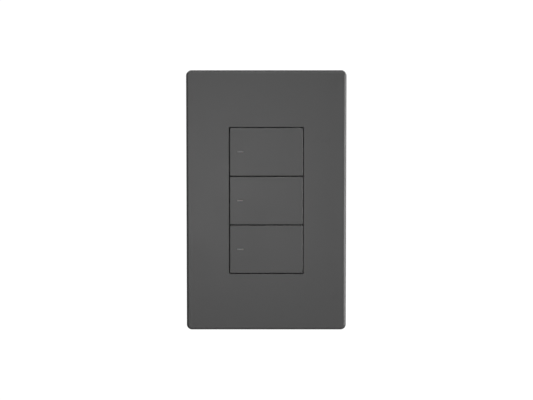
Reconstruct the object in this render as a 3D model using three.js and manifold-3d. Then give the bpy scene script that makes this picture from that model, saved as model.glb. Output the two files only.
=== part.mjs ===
// Three-button wall control with a screwless cover plate, for a single-gang wall box.
//
// Frame, in millimetres: X to the right, Z up, Y into the wall. The origin is the centre of
// the middle button's front face, so every button face lies at y = 0. The wall plane, on
// which the cover's rim and the yoke's ear pads bear, is y = WALL_Y.
//
// From front to back: cover plate, buttons with their light pipes, sub plate and key frame,
// yoke, control board, power board, rear housing with its terminal block.
//
// Names ending in _FRONT and _BACK are y positions. Widths run along X, heights along Z.

import * as THREE from "three";
import { mergeVertices } from "three/addons/utils/BufferGeometryUtils.js";
import Module from "manifold-3d";

const manifold = await Module();
manifold.setup();

// ---------------------------------------------------------------- driving dimensions

const CLEARANCE = 0.05; // between parts that lie against each other
const FAR = 60; // beyond every part, for cutters that go right through

const PROUD = 0.2; // the button faces stand this far in front of the cover's face
const PLATE_W = 72.9;
const PLATE_H = 118.5;
const PLATE_D = 8.0;
const PLATE_CORNER_R = 2.4;
const PLATE_EDGE_R = 1.1; // rounding between the cover's face and its sides
const PLATE_FACE_T = 2.2;
const PLATE_WALL_T = 1.8;
const WALL_Y = PROUD + PLATE_D;

const WINDOW_W = 34.0;
const WINDOW_H = 67.0;
const WINDOW_R = 0.5;
const COLLAR_T = 1.4;
const COLLAR_BACK = 4.5;

const GAP = 0.4; // all round each button
const BUTTON_W = WINDOW_W - 2 * GAP;
const BUTTON_H = (WINDOW_H - 4 * GAP) / 3;
const BUTTON_PITCH = BUTTON_H + GAP;
const BUTTON_CORNER_R = 0.5;
const BUTTON_EDGE_R = 0.35;
const BUTTON_FACE_T = 1.6;
const BUTTON_WALL_T = 1.2;
const BUTTON_BACK = 4.3;

const HINGE_Y = 4.6; // the button's pivot, behind its face
const HINGE_Z = BUTTON_H / 2 - 3.2; // and above its centre
const HINGE_PIN_R = 0.9;
const HINGE_HOLE_R = 1.0;
const HINGE_SIDES = 10;
const LUG_X = 7.5;
const HOOK_X = 9.5; // retaining hooks near the button's lower edge
const HOOK_Z = -BUTTON_H / 2 + 2.2;

const INDICATOR_X = -11.85; // the light bar, left of the button's centre
const INDICATOR_W = 3.0;
const INDICATOR_H = 0.7;

const SUB_W = 68.5;
const SUB_H = 114.1;
const SUB_FRONT = 4.8;
const SUB_BACK = 6.5;

const YOKE_FRONT = 6.6;
const YOKE_BACK = 8.0;
const YOKE_H = 106.4;
const BOX_SCREW_Z = 83.3 / 2; // mounting screws into the wall box
const PLATE_SCREW_Z = 96.8 / 2; // sub plate screws into the yoke
const EARTH_TAB_X = -22.6; // the earth tab's outer face
const EARTH_Y = 14.0; // centre of the earth screw
const EARTH_Z = -15.0;

const FRAME_W = 38.6;
const FRAME_H = 71.6;
const FRAME_FRONT = 5.3;
const FRAME_BACK = 6.5;
const CHASSIS_SCREW_X = 12.8;
const CHASSIS_SCREW_Z = 28.5;
const PEG_X = 12.8; // key frame pegs through the control board
const PEG_Z = 12.6;

const BOARD_FRONT = 9.4; // control board
const BOARD_BACK = 10.6;
const POWER_FRONT = 20.0; // power board
const POWER_BACK = 21.6;
const POWER_PARTS_Y = POWER_BACK + CLEARANCE; // where the power board's parts stand

const HOUSING_W = 40.6;
const HOUSING_H = 68.4;
const HOUSING_FRONT = 8.1;
const HOUSING_BACK = 41.0;
const HOUSING_T = 1.6;
const HOUSING_CORNER_R = 2.4;

const TERMINALS = 5;
const TERMINAL_PITCH = 7.62;
const TERMINAL_Z = -27.6;
const BLOCK_TOP = -21.6;
const BLOCK_BOTTOM = -HOUSING_H / 2;
const BLOCK_FRONT = 27.0;
const BAR_FRONT = 28.4; // the fixed contact bar
const BAR_BACK = 29.6;
const TAIL_Z = -23.9; // centre of the contact bar's tail
const CLAMP_OPEN = 31.7; // front of the clamp plate when fully open
const CLAMP_T = 1.0;

const SIDES = [-1, 1];
const ENDS = [
  ["top", 1],
  ["bottom", -1],
];
// Corner name, sign of x, sign of z.
const CORNERS = [
  ["upper_right", 1, 1],
  ["upper_left", -1, 1],
  ["lower_left", -1, -1],
  ["lower_right", 1, -1],
];
// Button name, z of its centre.
const BUTTONS = [
  ["top", BUTTON_PITCH],
  ["middle", 0],
  ["bottom", -BUTTON_PITCH],
];
const TERMINAL_XS = Array.from(
  { length: TERMINALS },
  (_, i) => (i - (TERMINALS - 1) / 2) * TERMINAL_PITCH,
);

// ---------------------------------------------------------------- materials

const plastic = ({ color, roughness }) =>
  new THREE.MeshStandardMaterial({ color, roughness, metalness: 0 });
const metal = ({ color, roughness }) =>
  new THREE.MeshStandardMaterial({ color, roughness, metalness: 1 });

const CHARCOAL = plastic({ color: 0x565656, roughness: 0.55 });
const FRAME_GREY = plastic({ color: 0x2c2d2f, roughness: 0.6 });
const HOUSING_GREY = plastic({ color: 0x3a3b3d, roughness: 0.55 });
const BLOCK_BLACK = plastic({ color: 0x1d1e20, roughness: 0.45 });
const LENS = plastic({ color: 0xb4b6b8, roughness: 0.25 });
const ZINC = metal({ color: 0xb9bcc0, roughness: 0.38 });
const NICKEL = metal({ color: 0xc9c6bf, roughness: 0.3 });
const BRASS = metal({ color: 0xc79a4b, roughness: 0.32 });
const GREEN_SCREW = metal({ color: 0x2f7d4a, roughness: 0.4 });
const BOARD_GREEN = plastic({ color: 0x1d5a3a, roughness: 0.4 });
const WASHER = plastic({ color: 0xb08f63, roughness: 0.8 });
const SWITCH_CASE = metal({ color: 0xa9abae, roughness: 0.4 });
const SWITCH_PLUNGER = plastic({ color: 0x26262a, roughness: 0.5 });
const LED_WHITE = plastic({ color: 0xe8e6dc, roughness: 0.3 });
const RADIO_CAN = metal({ color: 0xb7b9bb, roughness: 0.35 });
const RELAY_CASE = plastic({ color: 0x1f4f8c, roughness: 0.35 });
const CORE = plastic({ color: 0xd8b53a, roughness: 0.5 });
const CAP_SLEEVE = plastic({ color: 0x23262c, roughness: 0.35 });
const DISC_BLUE = plastic({ color: 0x2463a8, roughness: 0.5 });
const FUSE_TAN = plastic({ color: 0x7a3e2a, roughness: 0.5 });
const HEADER_BLACK = plastic({ color: 0x17181a, roughness: 0.5 });

// ---------------------------------------------------------------- solid helpers

// A closed surface as a solid, turned right side out if needed.
function solid(geometry) {
  const bare = geometry.clone();
  for (const name of ["normal", "uv"]) bare.deleteAttribute(name);
  const merged = mergeVertices(bare, 1e-4);
  const vertProperties = new Float32Array(merged.attributes.position.array);
  const triVerts = new Uint32Array(merged.index.array);
  const make = () =>
    new manifold.Manifold(new manifold.Mesh({ numProp: 3, vertProperties, triVerts }));
  const made = make();
  if (made.volume() >= 0) return made;
  for (let i = 0; i < triVerts.length; i += 3)
    [triVerts[i + 1], triVerts[i + 2]] = [triVerts[i + 2], triVerts[i + 1]];
  return make();
}

const join = (first, ...rest) => rest.reduce((a, b) => a.add(b), first);
const cut = (first, ...rest) => rest.reduce((a, b) => a.subtract(b), first);

// A box between two limits on each axis, given in either order.
function box(x0, x1, y0, y1, z0, z1) {
  const geometry = new THREE.BoxGeometry(Math.abs(x1 - x0), Math.abs(y1 - y0), Math.abs(z1 - z0));
  geometry.translate((x0 + x1) / 2, (y0 + y1) / 2, (z0 + z1) / 2);
  return solid(geometry);
}

// A box centred on x and z.
const brick = ([width, height], y0, y1, x = 0, z = 0) =>
  box(x - width / 2, x + width / 2, y0, y1, z - height / 2, z + height / 2);

// An X-Z outline extruded from y0 to y1.
function prism(shape, y0, y1, curveSegments = 5) {
  const geometry = new THREE.ExtrudeGeometry(shape, {
    depth: y1 - y0,
    bevelEnabled: false,
    curveSegments,
  });
  geometry.rotateX(Math.PI / 2);
  geometry.translate(0, y1, 0);
  return solid(geometry);
}

// A rectangle with rounded corners in the X-Z plane, extruded from y0 to y1.
function slab([width, height, radius], y0, y1, arcSteps, x = 0, z = 0) {
  const dx = width / 2 - radius;
  const dz = height / 2 - radius;
  const quarter = Math.PI / 2;
  const shape = new THREE.Shape();
  shape.moveTo(x + dx, z - dz - radius);
  shape.absarc(x + dx, z - dz, radius, -quarter, 0, false);
  shape.absarc(x + dx, z + dz, radius, 0, quarter, false);
  shape.absarc(x - dx, z + dz, radius, quarter, 2 * quarter, false);
  shape.absarc(x - dx, z - dz, radius, 2 * quarter, 3 * quarter, false);
  return prism(shape, y0, y1, arcSteps);
}

// A cylinder along Y, or a cone if the radius at its back differs.
function rod(radius, y0, y1, sides, x = 0, z = 0, backRadius = radius) {
  const geometry = new THREE.CylinderGeometry(backRadius, radius, y1 - y0, sides);
  geometry.translate(x, (y0 + y1) / 2, z);
  return solid(geometry);
}

// Cutters that go right through along Y.
const brickHole = (size, x, z) => brick(size, -FAR, FAR, x, z);
const slabHole = (size, arcSteps, x, z) => slab(size, -FAR, FAR, arcSteps, x, z);
const rodHole = (radius, sides, x, z) => rod(radius, -FAR, FAR, sides, x, z);

// A cylinder along X.
function axle(radius, x0, x1, y, z, sides = HINGE_SIDES) {
  const geometry = new THREE.CylinderGeometry(radius, radius, x1 - x0, sides);
  geometry.rotateZ(Math.PI / 2);
  geometry.translate((x0 + x1) / 2, y, z);
  return solid(geometry);
}

function extruded(points, depth) {
  const shape = new THREE.Shape(points.map(([u, v]) => new THREE.Vector2(u, v)));
  return new THREE.ExtrudeGeometry(shape, { depth, bevelEnabled: false });
}

// A Y-Z outline extruded from x0 to x1. Points are [y, z].
function bar(points, x0, x1) {
  const geometry = extruded(points.map(([y, z]) => [-z, y]), x1 - x0);
  geometry.rotateY(Math.PI / 2);
  geometry.translate(x0, 0, 0);
  return solid(geometry);
}

// An X-Y outline extruded from z0 to z1. Points are [x, y].
function post(points, z0, z1) {
  const geometry = extruded(points, z1 - z0);
  geometry.translate(0, 0, z0);
  return solid(geometry);
}

// A solid of revolution about Y from [radius, y] points that start and end on the axis.
function turned(points, sides) {
  const profile = points.map(([radius, y]) => new THREE.Vector2(radius, y));
  return solid(new THREE.LatheGeometry(profile, sides));
}

// Rounded-rectangle rings joined into one skin. Each ring is [y, width, height, radius].
function loft(rings, perCorner) {
  const points = [];
  for (const [y, width, height, radius] of rings)
    for (let corner = 0; corner < 4; corner++) {
      const cornerX = (corner === 0 || corner === 3 ? 1 : -1) * (width / 2 - radius);
      const cornerZ = (corner < 2 ? 1 : -1) * (height / 2 - radius);
      for (let i = 0; i < perCorner; i++) {
        const angle = (corner + i / (perCorner - 1)) * (Math.PI / 2);
        points.push(cornerX + radius * Math.cos(angle), y, cornerZ + radius * Math.sin(angle));
      }
    }
  const count = 4 * perCorner;
  const indices = [];
  for (let ring = 0; ring + 1 < rings.length; ring++)
    for (let i = 0; i < count; i++) {
      const here = ring * count + i;
      const next = ring * count + ((i + 1) % count);
      indices.push(here, next, here + count, next, next + count, here + count);
    }
  // flat caps on the first and last rings
  const last = (rings.length - 1) * count;
  for (let i = 1; i + 1 < count; i++) {
    indices.push(0, i + 1, i);
    indices.push(last, last + i, last + i + 1);
  }
  const geometry = new THREE.BufferGeometry();
  geometry.setAttribute("position", new THREE.Float32BufferAttribute(points, 3));
  geometry.setIndex(indices);
  return solid(geometry);
}

// A box from y0 to y1 with rounded corners and a rounded edge round its front face.
function softBox({ width, height, cornerR, edgeR, y0, y1, edgeSteps, perCorner }) {
  const minCornerR = 0.12;
  const rings = [];
  for (let i = 0; i <= edgeSteps; i++) {
    const angle = (i / edgeSteps) * (Math.PI / 2);
    const inset = edgeR * (1 - Math.sin(angle));
    rings.push([
      y0 + edgeR * (1 - Math.cos(angle)),
      width - 2 * inset,
      height - 2 * inset,
      Math.max(cornerR - inset, minCornerR),
    ]);
  }
  rings.push([y1, width, height, cornerR]);
  return loft(rings, perCorner);
}

// Cutters for a straight slot along Z, and for a cross.
const slot = (width, length, y0, y1) => brick([width, length], y0, y1);
const cross = (width, length, y0, y1) =>
  join(slot(width, length, y0, y1), slot(length, width, y0, y1));

// A machine screw along +Y: the head's underside is at y = 0, the shank runs to y = length.
function machineScrew({ headR, headT, shankR, length, recess = cross }) {
  const body = turned(
    [
      [0, -headT],
      [headR * 0.5, -headT],
      [headR, -headT * 0.45],
      [headR, 0],
      [shankR, 0],
      [shankR, length - shankR * 0.7],
      [shankR * 0.45, length],
      [0, length],
    ],
    12,
  );
  return cut(body, recess(headR * 0.32, headR * 1.2, -headT - 1, -headT * 0.35));
}

// A finished piece: a named mesh from a solid.
function piece(name, shape, material, x = 0, y = 0, z = 0) {
  const { vertProperties, triVerts } = shape.getMesh();
  const geometry = new THREE.BufferGeometry();
  geometry.setAttribute(
    "position",
    new THREE.BufferAttribute(new Float32Array(vertProperties), 3),
  );
  geometry.setIndex(new THREE.BufferAttribute(new Uint32Array(triVerts), 1));
  geometry.computeVertexNormals();
  const mesh = new THREE.Mesh(geometry, material);
  mesh.name = name;
  mesh.position.set(x, y, z);
  return mesh;
}

// A piece turned half round about X, so that its local +Y points forward.
function reversedPiece(...args) {
  const mesh = piece(...args);
  mesh.rotation.x = Math.PI;
  return mesh;
}

// ---------------------------------------------------------------- cover plate

// Snap barb section: [distance outward from the wall's inner face, y].
const BARB = [
  [0.3, 6.7], [-0.15, 6.7], [-0.75, 7.05],
  [-0.75, 7.25], [-0.05, 7.9], [0.3, 7.9],
];
const SIDE_BARB_Z = 40;
const SIDE_BARB_HALF = 4.5;
const END_BARB_HALF = 6;

// Stiffening ribs from the collar to the four walls.
function coverRibs(ribFront) {
  const ribBack = 3.8;
  const thickness = 1;
  const ribs = [];
  for (const side of SIDES) {
    for (const x of [-26, -13, 13, 26])
      ribs.push(
        box(x - thickness / 2, x + thickness / 2, ribFront, ribBack, side * 36, side * 57.6),
      );
    for (const z of [-30, -15, 0, 15, 30])
      ribs.push(
        box(side * 18, side * 34.9, ribFront, ribBack, z - thickness / 2, z + thickness / 2),
      );
  }
  return ribs;
}

// Snap barbs inside the walls, which catch behind the sub plate's edge.
function coverBarbs(wallX, wallZ) {
  const barbs = [];
  for (const side of SIDES) {
    const sideSection = BARB.map(([out, y]) => [side * (wallX + out), y]);
    for (const z of [-SIDE_BARB_Z, SIDE_BARB_Z])
      barbs.push(post(sideSection, z - SIDE_BARB_HALF, z + SIDE_BARB_HALF));
    const endSection = BARB.map(([out, y]) => [y, side * (wallZ + out)]);
    barbs.push(bar(endSection, -END_BARB_HALF, END_BARB_HALF));
  }
  return barbs;
}

function coverPlate() {
  const faceBack = PROUD + PLATE_FACE_T;
  const sunkFront = faceBack - 0.4; // collar and ribs start inside the face
  const cavityW = PLATE_W - 2 * PLATE_WALL_T;
  const cavityH = PLATE_H - 2 * PLATE_WALL_T;
  const shell = softBox({
    width: PLATE_W,
    height: PLATE_H,
    cornerR: PLATE_CORNER_R,
    edgeR: PLATE_EDGE_R,
    y0: PROUD,
    y1: WALL_Y,
    edgeSteps: 4,
    perCorner: 5,
  });
  const hollow = cut(shell, slab([cavityW, cavityH, 1.0], faceBack, WALL_Y + 1, 2));
  // collar that frames the buttons behind the face
  const collar = [WINDOW_W + 2 * COLLAR_T, WINDOW_H + 2 * COLLAR_T, 1.2];
  const plate = join(
    hollow,
    slab(collar, sunkFront, COLLAR_BACK, 2),
    ...coverRibs(sunkFront),
    ...coverBarbs(cavityW / 2, cavityH / 2),
  );
  return cut(
    plate,
    slabHole([WINDOW_W, WINDOW_H, WINDOW_R], 3),
    // notch in the bottom rim for a screwdriver tip, to pry the cover off
    box(-4, 4, 6.6, WALL_Y + 1, -60, -56.9),
  );
}

// ---------------------------------------------------------------- buttons and light pipes

const BUTTON_SUNK = BUTTON_FACE_T - 0.3; // inner details start inside the face

// Retaining hook section: [y, z from HOOK_Z].
const HOOK = [
  [BUTTON_SUNK, 0.5], [7.6, 0.5], [7.6, -0.5], [6.75, -1.3],
  [6.6, -1.3], [6.6, -0.5], [BUTTON_SUNK, -0.5],
];

// Lug that reaches back to the pivot, with a pin on each side of it.
function hingeLug(x) {
  const halfWidth = 1.2;
  const lugR = 1.1;
  const pinReach = 2.5;
  return [
    brick([2 * halfWidth, 2 * lugR], BUTTON_SUNK, HINGE_Y, x, HINGE_Z),
    axle(lugR, x - halfWidth, x + halfWidth, HINGE_Y, HINGE_Z),
    axle(HINGE_PIN_R, x - pinReach, x + pinReach, HINGE_Y, HINGE_Z),
  ];
}

function buttonCap() {
  const cap = softBox({
    width: BUTTON_W,
    height: BUTTON_H,
    cornerR: BUTTON_CORNER_R,
    edgeR: BUTTON_EDGE_R,
    y0: 0,
    y1: BUTTON_BACK,
    edgeSteps: 2,
    perCorner: 3,
  });
  const cavity = [
    BUTTON_W - 2 * BUTTON_WALL_T,
    BUTTON_H - 2 * BUTTON_WALL_T,
    BUTTON_CORNER_R,
  ];
  let button = cut(cap, slab(cavity, BUTTON_FACE_T, BUTTON_BACK + 1, 1));
  // stiffening ribs inside the cap
  for (const z of [-5, 4]) button = join(button, brick([31.2, 0.8], BUTTON_SUNK, 2.6, 0, z));
  // post that presses the switch
  button = join(button, rod(1.5, BUTTON_SUNK, 5.05, 12));
  const hookHalf = 1.5;
  const hookSection = HOOK.map(([y, dz]) => [y, HOOK_Z + dz]);
  for (const side of SIDES) {
    const hookX = side * HOOK_X;
    button = join(
      button,
      ...hingeLug(side * LUG_X),
      bar(hookSection, hookX - hookHalf, hookX + hookHalf),
    );
  }
  // slot for the light bar
  return cut(button, slabHole([INDICATOR_W + 0.1, INDICATOR_H + 0.1, 0.38], 3, INDICATOR_X, 0));
}

// Bar in the face, flange behind it, stem towards the lamp on the board.
function lightPipe() {
  return join(
    slab([INDICATOR_W, INDICATOR_H, 0.34], 0.02, 2.0, 3),
    slab([4.6, 2.2, 0.3], BUTTON_FACE_T + CLEARANCE, 2.5, 1),
    slab([2.4, 1.6, 0.3], 2.3, 8.1, 1),
  );
}

// ---------------------------------------------------------------- sub plate

function subPlate() {
  const screwR = 1.9;
  const countersinkR = 3.6;
  // raised border along the front, just inside the outer edge
  const border = cut(
    slab([SUB_W - 2.4, SUB_H - 2.4, 1.6], 4.2, SUB_FRONT + 0.3, 2),
    slab([SUB_W - 4.8, SUB_H - 4.8, 1.0], 4.0, SUB_FRONT + 0.5, 1),
  );
  let plate = join(slab([SUB_W, SUB_H, 2.2], SUB_FRONT, SUB_BACK, 3), border);
  // opening round the key frame
  plate = cut(plate, slabHole([39.4, 72.4, 1.5], 2));
  for (const side of SIDES) {
    const screwZ = side * PLATE_SCREW_Z;
    plate = cut(
      plate,
      // access to the mounting screw's head
      slabHole([12.5, 9.0, 4.4], 4, 0, side * BOX_SCREW_Z),
      // countersunk hole for the sub plate screw
      rodHole(screwR, 14, 0, screwZ),
      rod(countersinkR, SUB_FRONT - 0.01, SUB_BACK - 0.1, 14, 0, screwZ, screwR),
    );
    // lightening windows beside, above and below the opening
    for (const z of [-18, 18]) plate = cut(plate, slabHole([6.0, 26.0, 1.5], 1, side * 26.5, z));
    for (const x of [-21, 21]) plate = cut(plate, slabHole([14.0, 8.0, 1.5], 1, x, side * 45.5));
  }
  return plate;
}

// ---------------------------------------------------------------- key frame

// Hinge bearing: an opening for the lug, with a cheek on each side that holds its pin.
function addBearing(frame, x, z) {
  const lugGap = 1.55; // half the opening's width
  const cheekOuter = 2.75;
  const holeReach = 3.4;
  const opened = cut(frame, brick([2 * lugGap, 3.6], 0, FRAME_BACK + 0.1, x, z));
  const cheeks = SIDES.map((side) =>
    box(x + side * lugGap, x + side * cheekOuter, 3.1, FRAME_BACK - 0.2, z - 1.7, z + 1.7),
  );
  return cut(
    join(opened, ...cheeks),
    axle(HINGE_HOLE_R, x - holeReach, x + holeReach, HINGE_Y, z),
  );
}

// Slot for a retaining hook, deeper below to give its lip room behind the frame.
function hookSlots(x, z) {
  const half = 1.9;
  const top = z + 1.2;
  return [
    box(x - half, x + half, 0, FRAME_BACK + 0.1, z - 0.9, top),
    box(x - half, x + half, FRAME_BACK, 9, z - 2.4, top),
  ];
}

function keyFrame() {
  // rim that locates in the yoke's opening
  const rim = cut(
    slab([35.4, 65.4, 1.2], FRAME_BACK - 0.3, 7.9, 1),
    slab([33.4, 63.4, 0.8], FRAME_BACK - 0.5, 9.5, 1),
  );
  let frame = join(slab([FRAME_W, FRAME_H, 1.2], FRAME_FRONT, FRAME_BACK, 1), rim);
  for (const [, z] of BUTTONS) {
    // openings for the switch and the light pipe
    frame = cut(
      frame,
      brick([8, 8], 0, FRAME_BACK + 0.1, 0, z),
      brick([4.4, 3.6], 0, FRAME_BACK + 0.1, INDICATOR_X, z),
    );
    for (const side of SIDES) {
      frame = addBearing(frame, side * LUG_X, z + HINGE_Z);
      frame = cut(frame, ...hookSlots(side * HOOK_X, z + HOOK_Z));
    }
  }
  for (const [, sideX, sideZ] of CORNERS) {
    const pegX = sideX * PEG_X;
    const pegZ = sideZ * PEG_Z;
    const screwX = sideX * CHASSIS_SCREW_X;
    const screwZ = sideZ * CHASSIS_SCREW_Z;
    frame = join(
      frame,
      // standoff for the control board, with a peg through it
      rod(1.8, FRAME_BACK - 0.2, BOARD_FRONT - CLEARANCE, 10, pegX, pegZ),
      rod(0.8, BOARD_FRONT - 0.3, BOARD_BACK + 0.6, 8, pegX, pegZ),
      // sleeve for the chassis screw
      rod(2.6, FRAME_BACK - 0.2, 8.8, 12, screwX, screwZ),
    );
    frame = cut(frame, rodHole(1.65, 12, screwX, screwZ));
  }
  return frame;
}

// ---------------------------------------------------------------- yoke

const YOKE_HALF = YOKE_H / 2;
const YOKE_NECK_X = 11.5;

// Upper right quarter of the yoke's outline, from the top down: [x, z].
const YOKE_QUARTER = [
  [16.5, YOKE_HALF],
  [16.5, YOKE_HALF - 6.6],
  [YOKE_NECK_X, YOKE_HALF - 7.6],
  [YOKE_NECK_X, 38.5],
  [20.4, 37.2],
];

function yokeOutline() {
  const lowerRight = YOKE_QUARTER.map(([x, z]) => [x, -z]);
  const right = [...lowerRight, ...[...YOKE_QUARTER].reverse()];
  const left = right.map(([x, z]) => [-x, z]).reverse();
  return new THREE.Shape([...right, ...left].map(([x, z]) => new THREE.Vector2(x, z)));
}

function yoke() {
  let plate = prism(yokeOutline(), YOKE_FRONT, YOKE_BACK);
  for (const side of SIDES) {
    // ear pads, pressed back so that only they bear on the wall or box
    for (const sideX of SIDES) {
      const pad = slab([7.6, 5.0, 0.8], YOKE_FRONT + 0.2, WALL_Y, 2, sideX * 11.9, side * 49.8);
      plate = join(plate, pad);
    }
    // slot for the mounting screw, and tapped hole for the sub plate screw
    plate = cut(
      plate,
      slabHole([8.6, 4.2, 2.09], 4, 0, side * BOX_SCREW_Z),
      rodHole(1.75, 14, 0, side * PLATE_SCREW_Z),
    );
    // half-round break-off notches at the ear's neck
    for (const x of [-YOKE_NECK_X, YOKE_NECK_X])
      plate = cut(plate, rodHole(0.9, 10, x, side * 44.2));
  }
  plate = cut(plate, slabHole([36.0, 66.0, 1.5], 2));
  // earth tab on the left, bent back along the housing's side
  const tabFront = YOKE_FRONT + 0.1;
  const tabBottom = EARTH_Z - 5;
  const tabTop = EARTH_Z + 5;
  plate = join(
    plate,
    box(EARTH_TAB_X, -20.2, tabFront, YOKE_BACK, tabBottom, tabTop),
    box(EARTH_TAB_X, -21.2, tabFront, 19.0, tabBottom, tabTop),
  );
  return cut(plate, axle(1.75, -25, -20.9, EARTH_Y, EARTH_Z, 14));
}

// ---------------------------------------------------------------- fasteners of the front

const mountingScrew = () =>
  machineScrew({ headR: 3.45, headT: 2.2, shankR: 1.7, length: 25.4 });

// Fibre washer that keeps the mounting screw in its slot.
const screwRetainer = () => cut(slab([8.8, 8.8, 0.6], 0, 0.8, 2), rodHole(1.8, 14));

// Countersunk screw that holds the sub plate to the yoke; its face is at y = 0.
function subPlateScrew() {
  const body = turned(
    [
      [0, 0], [3.1, 0], [3.15, 0.2], [1.65, 1.6],
      [1.65, 7.6], [0.9, 8.4], [0, 8.4],
    ],
    14,
  );
  return cut(body, cross(1.0, 3.8, -1, 0.9));
}

// Screw threaded into the yoke's tab from the left.
function earthScrew() {
  const screw = machineScrew({
    headR: 3.2,
    headT: 1.9,
    shankR: 1.7,
    length: 1.7,
    recess: slot,
  });
  const x = EARTH_TAB_X - CLEARANCE;
  const mesh = piece("earth_screw", screw, GREEN_SCREW, x, EARTH_Y, EARTH_Z);
  mesh.rotation.z = -Math.PI / 2;
  return mesh;
}

// Screw from the key frame to the rear housing, under the buttons.
const chassisScrew = () =>
  machineScrew({ headR: 2.2, headT: 1.5, shankR: 1.45, length: 10.6 });

// ---------------------------------------------------------------- control board

const SWITCH_D = 3.5; // depth of the switch's case
const LAMP_D = 0.55;

function controlBoard() {
  const pegHoles = CORNERS.map(([, sideX, sideZ]) =>
    rodHole(0.95, 12, sideX * PEG_X, sideZ * PEG_Z),
  );
  return cut(slab([30.0, 51.6, 0.8], BOARD_FRONT, BOARD_BACK, 2), ...pegHoles);
}

// Square case with a bored round collar in front and four feet at the back.
function switchBody() {
  const collared = join(slab([6.0, 6.0, 0.5], 0, SWITCH_D, 1), rod(2.2, -0.25, 0.2, 12));
  const feet = CORNERS.map(([, sideX, sideZ]) => {
    const z = sideZ * 2.25;
    return box(sideX * 2.8, sideX * 3.7, 3.1, SWITCH_D, z - 0.35, z + 0.35);
  });
  return join(cut(collared, rod(1.75, -1, 1.6, 12)), ...feet);
}

const switchPlunger = () => turned([[0, 0], [1.3, 0], [1.55, 0.2], [1.55, 1.6], [0, 1.6]], 12);

const indicatorLamp = () =>
  join(slab([1.6, 0.8, 0.1], 0, LAMP_D, 1), slab([1.1, 0.7, 0.1], -0.1, 0.2, 1));

// Small board under a shielding can that leaves its upper end bare.
function radioModule() {
  return join(
    slab([16.0, 22.0, 0.3], BOARD_BACK + CLEARANCE, BOARD_BACK + 0.85, 1, 0, 11.5),
    slab([14.4, 15.4, 0.6], BOARD_BACK + 0.6, BOARD_BACK + 3.1, 2, 0, 9.2),
  );
}

// Block that joins the two boards, with a shallow recess above and below.
function boardHeader() {
  const recessFront = BOARD_BACK + 2.6;
  const recessBack = POWER_FRONT - 2.6;
  return cut(
    box(-6.35, 6.35, BOARD_BACK + CLEARANCE, POWER_FRONT - CLEARANCE, -21.0, -16.0),
    box(-5.6, 5.6, recessFront, recessBack, -22, -20.4),
    box(-5.6, 5.6, recessFront, recessBack, -16.6, -15),
  );
}

// ---------------------------------------------------------------- power board and its parts

const RELAY_D = 15.3;
const RELAY_PITCH = 12;

function powerBoard() {
  return cut(
    slab([36.6, 55.0, 0.8], POWER_FRONT, POWER_BACK, 2),
    // notches in the side edges
    ...SIDES.map((side) => brickHole([2.4, 6], side * 18.4, 0)),
    // holes for the contact bars' tails
    ...TERMINAL_XS.map((x) => brickHole([2.6, 1.6], x, TAIL_Z)),
  );
}

// Drawn with its recessed face at y = 0; the mesh is turned so that this faces the back.
function relay() {
  const relayCase = softBox({
    width: 10.2,
    height: 18.4,
    cornerR: 0.5,
    edgeR: 0.4,
    y0: 0,
    y1: RELAY_D,
    edgeSteps: 1,
    perCorner: 2,
  });
  return cut(relayCase, brick([7.2, 14], -1, 0.3));
}

function transformer() {
  const x = -10.0;
  const z = -7.6;
  const y = POWER_PARTS_Y;
  return join(
    slab([13.0, 13.4, 0.6], y, y + 2.2, 2, x, z),
    slab([12.4, 9.4, 0.6], y + 2.0, y + 11.2, 2, x, z),
    slab([10.0, 13.0, 0.8], y + 3.6, y + 9.6, 2, x, z),
  );
}

// Can with a groove near its foot and a cross scored in its end.
function smoothingCapacitor() {
  const can = turned(
    [
      [0, 0], [3.6, 0], [4.0, 0.4], [4.0, 0.9], [3.75, 1.15],
      [4.0, 1.4], [4.0, 11.1], [3.6, 11.5], [0, 11.5],
    ],
    18,
  );
  return cut(can, cross(0.4, 5.2, 11.3, 12));
}

// Rounded disc on two leads.
function surgeVaristor() {
  const disc = new THREE.SphereGeometry(1, 14, 8);
  disc.scale(1.9, 4.2, 4.2);
  disc.translate(0, 5.4, 0);
  const leads = SIDES.map((side) => box(-0.4, 0.4, 0, 3, side * 2.1, side * 2.9));
  return join(solid(disc), ...leads);
}

// Capsule lying along Z on two leads.
function fusibleResistor() {
  const axisY = 2.3;
  const capsule = new THREE.CapsuleGeometry(1.7, 6.0, 3, 10);
  capsule.rotateX(Math.PI / 2);
  capsule.translate(0, axisY, 0);
  const leads = SIDES.map((side) => box(-0.35, 0.35, 0, axisY, side * 3.7, side * 4.4));
  return join(solid(capsule), ...leads);
}

// ---------------------------------------------------------------- rear housing

const BOSS_BACK = 19.6;
const WEB_END_X = 19.0; // webs and ledges end inside the side walls

function housingShell() {
  const shell = loft(
    [
      [HOUSING_FRONT, HOUSING_W, HOUSING_H, HOUSING_CORNER_R],
      [HOUSING_BACK - 1.2, HOUSING_W, HOUSING_H, HOUSING_CORNER_R],
      [HOUSING_BACK - 0.35, HOUSING_W - 0.7, HOUSING_H - 0.7, 2.1],
      [HOUSING_BACK, HOUSING_W - 2.4, HOUSING_H - 2.4, 1.4],
    ],
    4,
  );
  const cavity = [HOUSING_W - 2 * HOUSING_T, HOUSING_H - 2 * HOUSING_T, 1.2];
  return cut(shell, slab(cavity, HOUSING_FRONT - 1, HOUSING_BACK - HOUSING_T, 3));
}

// Bored boss for a chassis screw, webbed to the side wall.
function addBoss(housing, sideX, sideZ) {
  const x = sideX * CHASSIS_SCREW_X;
  const z = sideZ * CHASSIS_SCREW_Z;
  const webStart = x + sideX * 1.5;
  const joined = join(
    housing,
    rod(2.6, 8.9, BOSS_BACK, 12, x, z),
    box(webStart, sideX * WEB_END_X, 9.4, BOSS_BACK, z - 0.7, z + 0.7),
  );
  return cut(joined, rod(1.6, 0, 18.2, 10, x, z));
}

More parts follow.
